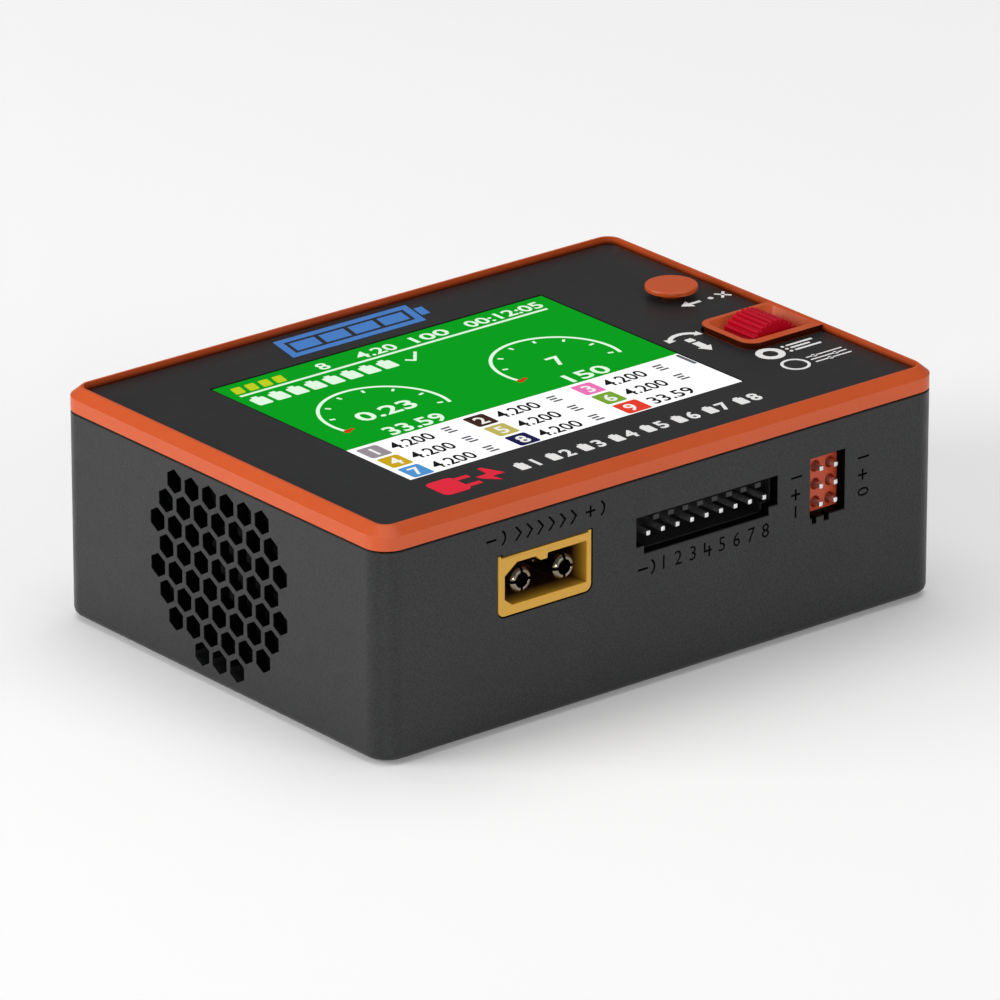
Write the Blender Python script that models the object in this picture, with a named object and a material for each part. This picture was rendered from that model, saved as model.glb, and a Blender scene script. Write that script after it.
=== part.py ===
"""Balance battery charger with a colour screen, a scroll wheel and a side fan.

The origin is under the middle of the case, on the surface that the feet stand
on. X runs to the right along the front, Y to the back and Z up. Sizes are in
millimetres, and MM turns them into Blender's metres.
"""

from math import cos, pi, radians, sin, sqrt

import bmesh
import bpy
from mathutils import Matrix, Vector

MM = 0.001
FIT = 0.3
SEAM = 0.2
PANEL_GAP = 0.3

# Case and cover
WIDTH = 95.3
DEPTH = 68.5
HALF_W = WIDTH / 2
HALF_D = DEPTH / 2
FOOT_PROUD = 0.5
CASE_BOTTOM = FOOT_PROUD
CASE_TOP = 29.58
WALL = 1.5
FLOOR_TOP = CASE_BOTTOM + 2.0
CORNER = 3.5
BEZEL_BOTTOM = CASE_TOP + SEAM
BAND_TOP = 31.7
BEZEL_TOP = 32.87
CHAMFER_IN = 1.4
RIM_INSET = 1.76
LEDGE_INSET = 3.6
PANEL_TOP = 31.9
PANEL_BOTTOM = PANEL_TOP - 1.0
LEDGE_TOP = PANEL_BOTTOM - FIT
POST_X, POST_Y, POST_R = 42.4, 29.0, 3.9
POST_TOP = 24.0
BOSS_R = 3.2
OVERLAP = 0.3
FOOT_X, FOOT_Y, FOOT_R = 36.5, 21.5, 4.5

# Boards
BOARD_TOP = 15.75
BOARD_BOTTOM = BOARD_TOP - 1.2
UI_BOTTOM, UI_TOP = 25.3, 26.3
BOARD_EDGE = 45.6
STANDOFFS = ((-31.5, -28.0), (-31.5, 28.0), (34.5, -21.0), (34.5, 21.0))

# Screen
SCREEN_LOW = (-31.56, -20.07)
SCREEN_HIGH = (25.17, 22.22)

# Controls on the right of the cover
BUTTON_X, BUTTON_Y, BUTTON_R, NECK_R = 38.8, 10.9, 3.65, 1.6
BUTTON_TOP = 33.55
WHEEL_X, WHEEL_Y, WHEEL_Z, WHEEL_R = 39.75, -6.45, 29.05, 4.9
WHEEL_HALF = 3.15
WHEEL_TEETH = 34
TOOTH_DEPTH = 0.4
AXLE_R = 0.9
CARRIER_LOW = 22.9
WELL_LOW, WELL_HIGH = (32.96, -12.35), (46.2, -1.0)
WELL_TOP = 32.77
WELL_CORNER = 2.2
WELL_UNDERCUT = 0.45
WELL_FIT = 0.1
DISH_RIM = (33.84, -11.15), (45.66, -1.47), 1.6
DISH_FLOOR = (34.92, -9.64), (44.58, -3.33), 0.3
SLOT = (34.7, -9.95), (44.8, -2.95), 0.6

# Connectors
POWER_X = 20.6
POWER_HALF = 7.8
POWER_LOW, POWER_HIGH = 16.12, 24.35
POWER_EAR_WIDE, POWER_EAR_HIGH = 0.5, 0.27
POWER_PIN_GAP = 7.13
POWER_PIN_Z = 20.3
POWER_PIN_R = 1.75
POWER_RECESS = 0.4
BALANCE_X, BALANCE_Z, BALANCE_PITCH, BALANCE_PINS = 7.27, 21.4, 2.5, 9
SIGNAL_X, SIGNAL_Z, SIGNAL_PITCH = 28.49, 20.46, 2.54
PIN_HALF = 0.32
PIN_HOLE = 0.46
USB_X, USB_Z = -8.0, 17.75
USB_HALF_X, USB_HALF_Z, USB_CORNER = 4.47, 1.63, 1.5
USB_METAL = 0.3

# Fan and its grille of six-sided holes
FAN_HALF = 12.5
FAN_Z = 16.96
FAN_OUT = -HALF_W + WALL + FIT
FAN_IN = FAN_OUT + 10.0
FAN_BORE = 11.8
HUB_R = 5.5
BLADES = 7
HEX_PITCH = 3.732
HEX_FLATS = 3.0
ENGRAVING = 0.25
RIM = 0.14
INTAKE_ROWS = (6, 7, 8, 7, 8, 7, 6, 3)
EXHAUST_ROWS = (6, 7, 6, 7, 6)

PARTS = None
TOOLS = None
PAINT = {}


# ---------------------------------------------------------------- helpers

def clear_scene():
    """Remove every object that is already in the file."""
    for obj in list(bpy.data.objects):
        bpy.data.objects.remove(obj, do_unlink=True)


def collection(name):
    """Make a collection in the scene."""
    made = bpy.data.collections.new(name)
    bpy.context.scene.collection.children.link(made)
    return made


def paint(name, colour, roughness, metallic=0.0, alpha=1.0):
    """Make one Principled material and keep it under its name."""
    material = bpy.data.materials.new(name)
    material.use_nodes = True
    shader = material.node_tree.nodes["Principled BSDF"]
    shader.inputs["Base Color"].default_value = (*colour, 1.0)
    shader.inputs["Roughness"].default_value = roughness
    shader.inputs["Metallic"].default_value = metallic
    shader.inputs["Alpha"].default_value = alpha
    PAINT[name] = material


def block(bm, low, high):
    """Add a box between two corners and return its vertices."""
    size = [b - a for a, b in zip(low, high)]
    middle = [(a + b) / 2 for a, b in zip(low, high)]
    matrix = Matrix.Translation(middle) @ Matrix.Diagonal((*size, 1.0))
    return bmesh.ops.create_cube(bm, size=1.0, matrix=matrix)["verts"]


def round_edges(bm, verts, axis, radius, steps=6, wanted=None):
    """Round the edges of a box that run along one axis."""
    edges = {edge for vert in verts for edge in vert.link_edges}
    chosen = []
    for edge in edges:
        first, second = edge.verts[0].co, edge.verts[1].co
        along = abs(first[axis] - second[axis]) > 1e-4
        if along and (wanted is None or wanted((first + second) / 2)):
            chosen.append(edge)
    chosen.sort(key=lambda edge: tuple(edge.verts[0].co + edge.verts[1].co))
    bmesh.ops.bevel(bm, geom=chosen, offset=radius, segments=steps, profile=0.5, affect="EDGES")


def slab(bm, low, high, radius, steps=6, axis=2):
    """Add a box whose four edges along one axis are rounded."""
    round_edges(bm, block(bm, low, high), axis, radius, steps)


def spread(inset, low_z, high_z):
    """Give the corners of a box that stands inside the case's outline."""
    low = (-HALF_W + inset, -HALF_D + inset, low_z)
    high = (HALF_W - inset, HALF_D - inset, high_z)
    return low, high


def axis_turn(axis):
    """Turn local +Z onto world X, Y or Z."""
    turns = {"X": Matrix.Rotation(pi / 2, 4, "Y"), "Y": Matrix.Rotation(-pi / 2, 4, "X")}
    return turns.get(axis, Matrix.Identity(4))


def rod(bm, radius, centre, depth, axis="Z", sides=24, turn=0.0, low_radius=None):
    """Add a round or many-sided bar centred on a point; low_radius tapers its lower end."""
    matrix = Matrix.Translation(centre) @ axis_turn(axis) @ Matrix.Rotation(radians(turn), 4, "Z")
    start = radius if low_radius is None else low_radius
    made = bmesh.ops.create_cone(
        bm, cap_ends=True, segments=sides, radius1=start, radius2=radius, depth=depth, matrix=matrix)
    return made["verts"]


def turned(bm, profile, centre=(0, 0, 0), axis="Z", sides=24):
    """Spin (radius, height) pairs, which start and end on the axis, into a solid."""
    matrix = Matrix.Translation(centre) @ axis_turn(axis)
    before = set(bm.verts)
    line = [bm.verts.new((radius, 0, height)) for radius, height in profile]
    edges = [bm.edges.new(pair) for pair in zip(line, line[1:])]
    bmesh.ops.spin(
        bm, geom=line + edges, cent=(0, 0, 0), axis=(0, 0, 1), angle=2 * pi, steps=sides, use_merge=True)
    fresh = [vert for vert in bm.verts if vert not in before]
    bmesh.ops.remove_doubles(bm, verts=fresh, dist=1e-4)
    fresh = [vert for vert in bm.verts if vert not in before]
    bmesh.ops.transform(bm, matrix=matrix, verts=fresh)


def prism(bm, outline, low, high, axis="Z"):
    """Push a flat outline along an axis; the outline holds the other two coordinates in order."""
    def point(a, b):
        return {"X": (low, a, b), "Y": (a, low, b), "Z": (a, b, low)}[axis]

    face = bm.faces.new([bm.verts.new(point(a, b)) for a, b in outline])
    pushed = bmesh.ops.extrude_face_region(bm, geom=[face])["geom"]
    shift = Vector([high - low if name == axis else 0.0 for name in "XYZ"])
    bmesh.ops.translate(bm, vec=shift, verts=[v for v in pushed if isinstance(v, bmesh.types.BMVert)])


def flared(bm, inner, inner_at, outer, outer_at, axis="Y"):
    """Join two like outlines in two planes across Y or Z."""
    def point(a, b, level):
        return (a, level, b) if axis == "Y" else (a, b, level)

    near = [bm.verts.new(point(a, b, inner_at)) for a, b in inner]
    far = [bm.verts.new(point(a, b, outer_at)) for a, b in outer]
    bm.faces.new(near)
    bm.faces.new(far)
    for i, vert in enumerate(near):
        j = i - 1
        bm.faces.new((near[j], vert, far[i], far[j]))


def arc(centre, radius, start, end, steps):
    """Points on an arc, with its angles in degrees."""
    angles = [radians(start + (end - start) * i / steps) for i in range(steps + 1)]
    return [(centre[0] + radius * cos(a), centre[1] + radius * sin(a)) for a in angles]


def rounded_rectangle(low, high, radius, steps=4):
    """A flat outline with four round corners."""
    points = []
    for x, y, start in ((low[0] + radius, low[1] + radius, 180), (high[0] - radius, low[1] + radius, 270),
                        (high[0] - radius, high[1] - radius, 0), (low[0] + radius, high[1] - radius, 90)):
        points += arc((x, y), radius, start, start + 90, steps)
    return points


def plus_outline(half, reach):
    """A plus sign round the origin, half a bar's width and half its length."""
    quarter = [(reach, -half), (reach, half), (half, half)]
    points = []
    for _ in range(4):
        points += quarter
        quarter = [(-b, a) for a, b in quarter]
    return points


def finish(bm, name, material, origin=(0, 0, 0), parent=None):
    """Make the named object of one sub-part, in metres, with its own origin."""
    bmesh.ops.recalc_face_normals(bm, faces=bm.faces)
    bmesh.ops.translate(bm, vec=-Vector(origin), verts=bm.verts)
    bmesh.ops.scale(bm, vec=(MM, MM, MM), verts=bm.verts)
    mesh = bpy.data.meshes.new(name)
    bm.to_mesh(mesh)
    bm.free()
    obj = bpy.data.objects.new(name, mesh)
    world = Vector(origin) * MM
    obj.location = world - parent.matrix_world.translation if parent else world
    obj.parent = parent
    if material is None:
        TOOLS.objects.link(obj)
        obj.hide_render = True
        obj.display_type = "WIRE"
        return obj
    mesh.materials.append(PAINT[material])
    mesh.shade_smooth()
    mesh.set_sharp_from_angle(angle=radians(30))
    PARTS.objects.link(obj)
    return obj


def combine(obj, operation, bm, label):
    """Cut a bmesh out of an object, or join it on, with an exact Boolean."""
    modifier = obj.modifiers.new(label, "BOOLEAN")
    modifier.operation = operation
    modifier.solver = "EXACT"
    modifier.object = finish(bm, f"{obj.name}.{label}", None)


def cut(obj, bm, label):
    """Take a bmesh away from an object."""
    combine(obj, "DIFFERENCE", bm, label)


def join(obj, bm, label):
    """Add a bmesh to an object."""
    combine(obj, "UNION", bm, label)


def axis_empty(name, centre, parent=None):
    """An empty on a joint's axis, which the pieces that move with it hang from."""
    empty = bpy.data.objects.new(name, None)
    world = Vector(centre) * MM
    empty.location = world - parent.matrix_world.translation if parent else world
    empty.parent = parent
    empty.empty_display_size = 0.004
    PARTS.objects.link(empty)
    bpy.context.view_layer.update()
    return empty


def corners(x, y):
    """The four points at plus and minus x and y."""
    return [(sx * x, sy * y) for sx in (-1, 1) for sy in (-1, 1)]


def corner_name(x, y):
    """Which corner of the case a point is nearest to."""
    return ("front" if y < 0 else "back") + ("_left" if x < 0 else "_right")


# ---------------------------------------------------------------- case

def hex_places(rows, centre_z):
    """Centres, as (y, z), of six-sided holes in rows from the top down."""
    row_step = HEX_PITCH * sqrt(3) / 2
    top = centre_z + row_step * (len(rows) - 1) / 2
    return [((i - (count - 1) / 2) * HEX_PITCH, top - row * row_step)
            for row, count in enumerate(rows) for i in range(count)]


def cut_grille(case, rows, side, centre_z, label):
    """Six-sided holes through the left (side -1) or right (1) wall, with broken edges outside."""
    radius = HEX_FLATS / sqrt(3)
    holes, rims = bmesh.new(), bmesh.new()
    slack = 0.06
    depth = 2 * (RIM + slack)
    for y, z in hex_places(rows, centre_z):
        rod(holes, radius, (side * (HALF_W - WALL / 2), y, z), 4 * WALL, "X", sides=6, turn=30)
        rod(rims, radius + side * (RIM + slack), (side * HALF_W, y, z), depth, "X", sides=6, turn=30,
            low_radius=radius - side * (RIM + slack))
    cut(case, holes, f"{label}_holes")
    cut(case, rims, f"{label}_rims")


def power_outline(inset, centre_x):
    """Outline of a power connector: round corners below, and a small ear on each upper corner."""
    left, right = centre_x - POWER_HALF + inset, centre_x + POWER_HALF - inset
    low, high = POWER_LOW + inset, POWER_HIGH - inset
    ear, ear_top = POWER_EAR_WIDE - 2 * inset, high + POWER_EAR_HIGH
    radius = 1.0 - inset
    points = [(left + ear, high), (left + ear, ear_top), (left, ear_top)]
    points += arc((left + radius, low + radius), radius, 180, 270, 4)
    points += arc((right - radius, low + radius), radius, 270, 360, 4)
    points += [(right, ear_top), (right - ear, ear_top), (right - ear, high)]
    return points


def balance_outline(grow):
    """Outline of the balance socket's mouth: a wide slot with a narrower step below."""
    left, right = BALANCE_X - 12.37 - grow, BALANCE_X + 11.88 + grow
    step_left, step_right = BALANCE_X - 11.05 - grow, BALANCE_X + 10.35 + grow
    low, step, high = 18.95 - grow, 20.1 - grow, 24.1 + grow
    return [(left, high), (left, step), (step_left, step), (step_left, low),
            (step_right, low), (step_right, step), (right, step), (right, high)]


def signal_outline(grow):
    """Outline of the signal window, with two small notches in its lower edge."""
    left, right, low, high, notch = 24.9, 30.95, 16.55, 25.0, 15.75
    points = [(left - grow, high + grow), (left - grow, low - grow)]
    for start, end in ((left + 0.4, left + 1.1), (left + 2.5, left + 3.3)):
        points += [(start - grow, low - grow), (start - grow, notch - grow)]
        points += [(end + grow, notch - grow), (end + grow, low - grow)]
    points += [(right + grow, low - grow), (right + grow, high + grow)]
    return points


STROKE = 0.32
SIGNS = {
    "+": plus_outline(STROKE / 2, 0.8),
    "-": [(-0.85, -STROKE / 2), (0.85, -STROKE / 2), (0.85, STROKE / 2), (-0.85, STROKE / 2)],
    ")": arc((-0.9, 0), 1.3, -60, 60, 6) + arc((-0.9, 0), 1.3 - STROKE, 60, -60, 6),
    ">": [(-0.5, 1.0), (0.35, 0.0), (-0.5, -1.0), (-0.1, -1.0), (0.75, 0.0), (-0.1, 1.0)],
    "4": [(-0.65, 1.05), (-0.33, 1.05), (-0.33, -0.04), (0.15, -0.04), (0.15, 0.45), (0.47, 0.45),
          (0.47, -0.04), (0.7, -0.04), (0.7, -0.36), (0.47, -0.36), (0.47, -1.05), (0.15, -1.05),
          (0.15, -0.36), (-0.65, -0.36)],
}


def font_sign(text, size):
    """One digit from Blender's own font as a flat solid round the origin, facing +Z."""
    curve = bpy.data.curves.new("sign", "FONT")
    curve.body = text
    curve.size = size * MM
    curve.align_x = "CENTER"
    curve.align_y = "CENTER"
    curve.resolution_u = 2
    curve.extrude = ENGRAVING * MM
    letters = bpy.data.objects.new("sign", curve)
    TOOLS.objects.link(letters)
    bpy.context.view_layer.update()
    ready = letters.evaluated_get(bpy.context.evaluated_depsgraph_get())
    mesh = bpy.data.meshes.new_from_object(ready)
    bpy.data.objects.remove(letters)
    bm = bmesh.new()
    bm.from_mesh(mesh)
    bpy.data.meshes.remove(mesh)
    bmesh.ops.scale(bm, vec=(1 / MM, 1 / MM, 1 / MM), verts=bm.verts)
    bmesh.ops.remove_doubles(bm, verts=bm.verts, dist=0.03)
    return bm


def drawn_sign(outline):
    """A sign with straight strokes as a flat solid round the origin, facing +Z."""
    bm = bmesh.new()
    prism(bm, outline, -ENGRAVING, ENGRAVING)
    return bm


def engraving(sign, x, z, quarter_turn=False):
    """The cutter of one shallow digit or sign in the front wall."""
    if sign in SIGNS:
        bm = drawn_sign(SIGNS[sign])
    else:
        bm = font_sign(sign, 2.9)
    turn = Matrix.Rotation(-pi / 2, 4, "Z") if quarter_turn else Matrix.Identity(4)
    upright = Matrix.Rotation(pi / 2, 4, "X")
    place = Matrix.Translation((x, -HALF_D, z)) @ upright @ turn
    bmesh.ops.transform(bm, matrix=place, verts=bm.verts)
    return bm


def engrave_front(case):
    """Cell numbers, polarity signs and arrows cut into the front wall."""
    digit_x, digit_step, digit_z = -0.5, 2.51, 16.78
    cut(case, engraving("-", digit_x - 1.42 * digit_step, digit_z), "cell_minus")
    cut(case, engraving(")", digit_x - 0.72 * digit_step, digit_z), "cell_arc")
    for number in range(1, BALANCE_PINS):
        x = digit_x + digit_step * (number - 1)
        cut(case, engraving(str(number), x, digit_z), f"digit_{number}")
    mark_z, mark_step = 23.1, 2.47
    for x, signs in ((22.29, "1+-"), (34.05, "1+0")):
        for row, sign in enumerate(signs):
            place = (x, mark_z - row * mark_step)
            cut(case, engraving(sign, *place, quarter_turn=True), f"mark_{round(x)}_{row}")
    reach, arc_step, arrow_count, arrow_step = 8.3, 1.4, 6, 1.85
    marks = [(-reach - arc_step / 2, "-"), (-reach + arc_step, ")")]
    marks += [(reach - arc_step / 2, "+"), (reach + arc_step, ")")]
    marks += [(arrow_step * (i - (arrow_count - 1) / 2), ">") for i in range(arrow_count)]
    for i, (shift, sign) in enumerate(marks):
        cut(case, engraving(sign, -POWER_X + shift, 27.2), f"power_mark_{i}")


def case_tray():
    """The case's outer shape, with its cavity cut out from above."""
    bm = bmesh.new()
    slab(bm, *spread(0, CASE_BOTTOM, CASE_TOP), CORNER, steps=8)
    lowest = [e for e in bm.edges if all(v.co.z < CASE_BOTTOM + 1e-3 for v in e.verts)]
    bmesh.ops.bevel(bm, geom=lowest, offset=1.0, segments=3, profile=0.5, affect="EDGES")
    highest = [e for e in bm.edges if all(v.co.z > CASE_TOP - 1e-3 for v in e.verts)]
    bmesh.ops.bevel(bm, geom=highest, offset=RIM, segments=1, affect="EDGES")
    case = finish(bm, "bottom_case", "case_black")
    bm = bmesh.new()
    slab(bm, *spread(WALL, FLOOR_TOP, CASE_TOP + 5), CORNER - WALL, steps=6)
    cut(case, bm, "cavity")
    return case


def add_posts(case):
    """Screw posts, board standoffs and the rests that hold the fan."""
    low = FLOOR_TOP - OVERLAP
    bm = bmesh.new()
    for x, y in corners(POST_X, POST_Y):
        rod(bm, POST_R, (x, y, (low + POST_TOP) / 2), POST_TOP - low, sides=16)
    high = BOARD_BOTTOM - FIT
    for x, y in STANDOFFS:
        rod(bm, 2.5, (x, y, (low + high) / 2), high - low, sides=16)
    start, end, rest_width, rest_top = FAN_OUT - 0.5, FAN_IN - 0.5, 1.3, 14.0
    for side in (-1, 1):
        near, far = sorted((side * (FAN_HALF + FIT), side * (FAN_HALF + FIT + rest_width)))
        block(bm, (start, near, low), (end, far, rest_top))
    block(bm, (start, -8, low), (end, 8, FAN_Z - FAN_HALF - FIT))
    join(case, bm, "posts")


def cut_underside(case):
    """Stepped screw holes up through the posts, and a shallow seat for each foot."""
    head_r, shank_r, head_top = 2.7, 1.5, 3.5
    bm = bmesh.new()
    for x, y in corners(POST_X, POST_Y):
        profile = [(0, -1), (head_r, -1), (head_r, head_top), (shank_r, head_top)]
        profile += [(shank_r, POST_TOP + 1), (0, POST_TOP + 1)]
        turned(bm, profile, (x, y, 0), sides=20)
    for x, y in corners(FOOT_X, FOOT_Y):
        rod(bm, FOOT_R + FIT, (x, y, CASE_BOTTOM - 0.2), 1.6)
    cut(case, bm, "screw_and_foot_holes")


def cut_windows(case):
    """Openings for the connectors in the front and back walls."""
    front = (-HALF_D - 1, -HALF_D + WALL + 1)
    back = (HALF_D - WALL - 1, HALF_D + 1)
    usb_x, usb_z = USB_HALF_X + SEAM, USB_HALF_Z + SEAM
    bm = bmesh.new()
    prism(bm, power_outline(-SEAM, -POWER_X), *front, axis="Y")
    prism(bm, balance_outline(0), *front, axis="Y")
    prism(bm, signal_outline(0), *front, axis="Y")
    prism(bm, power_outline(-SEAM, POWER_X), *back, axis="Y")
    slab(bm, (USB_X - usb_x, back[0], USB_Z - usb_z), (USB_X + usb_x, back[1], USB_Z + usb_z),
         USB_CORNER + SEAM, 5, axis=1)
    cut(case, bm, "windows")
    bm = bmesh.new()
    slack = 0.06
    flared(bm, balance_outline(-slack), -HALF_D + RIM + slack, balance_outline(RIM + slack), -HALF_D - slack)
    flared(bm, signal_outline(-slack), -HALF_D + RIM + slack, signal_outline(RIM + slack), -HALF_D - slack)
    cut(case, bm, "window_rims")


def build_bottom_case():
    """The black tray that holds the boards, with its grilles, windows and engraving."""
    case = case_tray()
    add_posts(case)
    cut_underside(case)
    cut_grille(case, INTAKE_ROWS, -1, FAN_Z - HEX_PITCH * sqrt(3) / 4, "intake")
    cut_grille(case, EXHAUST_ROWS, 1, FAN_Z, "exhaust")
    cut_windows(case)
    engrave_front(case)
    weld = case.modifiers.new("weld", "WELD")
    weld.merge_threshold = 0.002 * MM


def well_outline(inset):
    """Outline of the wheel's raised surround, which runs straight into the cover's right rim."""
    left, right = WELL_LOW[0] + inset, WELL_HIGH[0]
    low, high = WELL_LOW[1] + inset, WELL_HIGH[1] - inset
    radius = WELL_CORNER - inset
    points = [(right, low), (right, high)]
    points += arc((left + radius, high - radius), radius, 90, 180, 6)
    points += arc((left + radius, low + radius), radius, 180, 270, 6)
    return points


def build_bezel():
    """The orange cover frame: a chamfered ring with the wheel's raised surround."""
    bm = bmesh.new()
    slab(bm, *spread(0, BEZEL_BOTTOM, BAND_TOP), CORNER, steps=8)
    top = [face for face in bm.faces if face.normal.z > 0.9]
    bmesh.ops.inset_region(
        bm, faces=top, thickness=CHAMFER_IN, depth=BEZEL_TOP - BAND_TOP, use_even_offset=True)
    bezel = finish(bm, "top_bezel", "bezel_orange")

    bm = bmesh.new()
    slab(bm, *spread(RIM_INSET, LEDGE_TOP, BEZEL_TOP + 1), CORNER - RIM_INSET, steps=6)
    cut(bezel, bm, "panel_pocket")
    bm = bmesh.new()
    slab(bm, *spread(LEDGE_INSET, BEZEL_BOTTOM - 1, LEDGE_TOP + 1), 1.0, steps=3)
    cut(bezel, bm, "opening")

    bm = bmesh.new()
    flared(bm, well_outline(WELL_UNDERCUT), PANEL_TOP - 0.7, well_outline(0), WELL_TOP, axis="Z")
    low, high = POST_TOP + FIT, LEDGE_TOP - FIT
    for x, y in corners(POST_X, POST_Y):
        rod(bm, BOSS_R, (x, y, (low + high) / 2), high - low, sides=16)
    clip_inner, clip_outer, clip_half, clip_low = HALF_D - 3.1, HALF_D - WALL - FIT, 6, 27.4
    for x, side in ((-24, -1), (-24, 1), (24, -1), (24, 1)):
        near, far = sorted((side * clip_inner, side * clip_outer))
        block(bm, (x - clip_half, near, clip_low), (x + clip_half, far, BEZEL_BOTTOM + OVERLAP))
    join(bezel, bm, "surround_and_bosses")

    bm = bmesh.new()
    flared(bm, rounded_rectangle(*DISH_FLOOR), 31.1, rounded_rectangle(*DISH_RIM), WELL_TOP + 0.3, axis="Z")
    cut(bezel, bm, "wheel_dish")
    bm = bmesh.new()
    prism(bm, rounded_rectangle(*SLOT), 20, 40)
    for x, y in corners(POST_X, POST_Y):
        rod(bm, 1.35, (x, y, 26.2), 6.0, sides=12)
    cut(bezel, bm, "wheel_slot_and_screw_holes")


def build_panel():
    """The dark plate inside the cover, with openings for the screen and the controls."""
    bm = bmesh.new()
    inset = RIM_INSET + PANEL_GAP
    slab(bm, *spread(inset, PANEL_BOTTOM, PANEL_TOP), CORNER - inset, steps=6)
    panel = finish(bm, "top_panel", "panel_black")
    bm = bmesh.new()
    low, high = PANEL_BOTTOM - 1, PANEL_TOP + 1
    block(bm, (SCREEN_LOW[0] - SEAM, SCREEN_LOW[1] - SEAM, low),
          (SCREEN_HIGH[0] + SEAM, SCREEN_HIGH[1] + SEAM, high))
    rod(bm, NECK_R + 0.25, (BUTTON_X, BUTTON_Y, PANEL_TOP), 4, sides=32)
    prism(bm, well_outline(-WELL_FIT), low, high)
    cut(panel, bm, "windows")


# ---------------------------------------------------------------- screen

def build_screen():
    """The front glass, the display module behind it and its folded ribbon."""
    bm = bmesh.new()
    block(bm, (*SCREEN_LOW, PANEL_BOTTOM + 0.15), (*SCREEN_HIGH, PANEL_TOP - 0.05))
    finish(bm, "screen_lens", "clear_glass")

    bm = bmesh.new()
    slab(bm, (-34.9, -24.5, 28.0), (31.9, 26.5, PANEL_BOTTOM - FIT), 1.0, 2)
    module = finish(bm, "lcd_module", "screen_steel")
    bm = bmesh.new()
    block(bm, (SCREEN_LOW[0] - 1, SCREEN_LOW[1] - 1, 30.2), (SCREEN_HIGH[0] + 1, SCREEN_HIGH[1] + 1, 32))
    cut(module, bm, "glass_recess")

    bend, half, upper, turn_y = 0.85, 0.15, 28.75, 27.7
    start_y, end_y = 26.8, 21.5
    lower = upper - 2 * bend
    centre = (turn_y, (upper + lower) / 2)
    outline = [(start_y, upper + half)]
    outline += arc(centre, bend + half, 90, -90, 8)
    outline += [(end_y, lower - half), (end_y, lower + half)]
    outline += arc(centre, bend - half, -90, 90, 8)
    outline.append((start_y, upper - half))
    bm = bmesh.new()
    prism(bm, outline, -8.0, 8.0, axis="X")
    finish(bm, "screen_ribbon", "ribbon_amber")


# ---------------------------------------------------------------- boards and what stands on them

def build_boards():
    """The power board, the board under the screen, and the header that joins them."""
    reach = HALF_D - WALL - 0.6
    bm = bmesh.new()
    block(bm, (FAN_IN + 0.6, -reach, BOARD_BOTTOM), (BOARD_EDGE, reach, BOARD_TOP))
    board = finish(bm, "main_board", "board_green")
    bm = bmesh.new()
    for side in (-1, 1):
        near, far = sorted((side * (POST_Y - POST_R - 0.5), side * HALF_D))
        block(bm, (POST_X - POST_R - 0.5, near, BOARD_BOTTOM - 1), (HALF_W, far, BOARD_TOP + 1))
    for x, y in STANDOFFS:
        rod(bm, 1.2, (x, y, BOARD_TOP), 6, sides=12)
    cut(board, bm, "corner_notches")

    bm = bmesh.new()
    block(bm, (-35.0, -30.4, UI_BOTTOM), (BOARD_EDGE, 30.4, UI_TOP))
    board = finish(bm, "control_board", "board_green")
    bm = bmesh.new()
    for side in (-1, 1):
        near, far = sorted((side * (POST_Y - BOSS_R - 0.5), side * HALF_D))
        block(bm, (POST_X - BOSS_R - 0.5, near, UI_BOTTOM - 1), (HALF_W, far, UI_TOP + 1))
    block(bm, (WELL_LOW[0] + 0.9, -12.3, UI_BOTTOM - 1), (HALF_W, -0.7, UI_TOP + 1))
    cut(board, bm, "notches")

    bm = bmesh.new()
    block(bm, (-17.5, -11.0, BOARD_TOP + FIT), (-12.5, 1.7, UI_BOTTOM - FIT))
    finish(bm, "board_link", "connector_black")


def build_board_parts():
    """The heavier pieces that the main board carries."""
    fin, gap, count = 1.0, 2.8, 11
    low, base, top = 4.6, 12.2, BOARD_BOTTOM - FIT
    first = -(count - 1) / 2 * (fin + gap)
    outline = [(first - fin / 2, top)]
    for i in range(count):
        y = first + i * (fin + gap)
        outline += [(y - fin / 2, base), (y - fin / 2, low), (y + fin / 2, low), (y + fin / 2, base)]
    outline = [outline[0]] + outline[2:-1] + [(-first + fin / 2, top)]
    bm = bmesh.new()
    prism(bm, outline, -30.0, 14.0, axis="X")
    finish(bm, "heat_sink", "aluminium")

    bm = bmesh.new()
    slab(bm, (-4.0, -3.0, BOARD_TOP + FIT), (12.0, 13.0, 23.8), 2.5, 3)
    finish(bm, "inductor", "ferrite_grey")
    bm = bmesh.new()
    rod(bm, 4.5, (-24.5, 5.0, BOARD_TOP + FIT + 4.3), 8.6)
    finish(bm, "capacitor", "capacitor_silver")
    bm = bmesh.new()
    block(bm, (22, 0, BOARD_TOP + FIT), (32, 10, BOARD_TOP + FIT + 1.4))
    finish(bm, "controller_chip", "connector_black")
    bm = bmesh.new()
    low, high = BOARD_TOP + FIT, 21.4
    profile = [(0, low), (4.5, low), (4.5, high), (0.8, high), (0.8, high - 2), (0, high - 2)]
    turned(bm, profile, (27, -11, 0))
    finish(bm, "buzzer", "connector_black")


# ---------------------------------------------------------------- connectors

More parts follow.
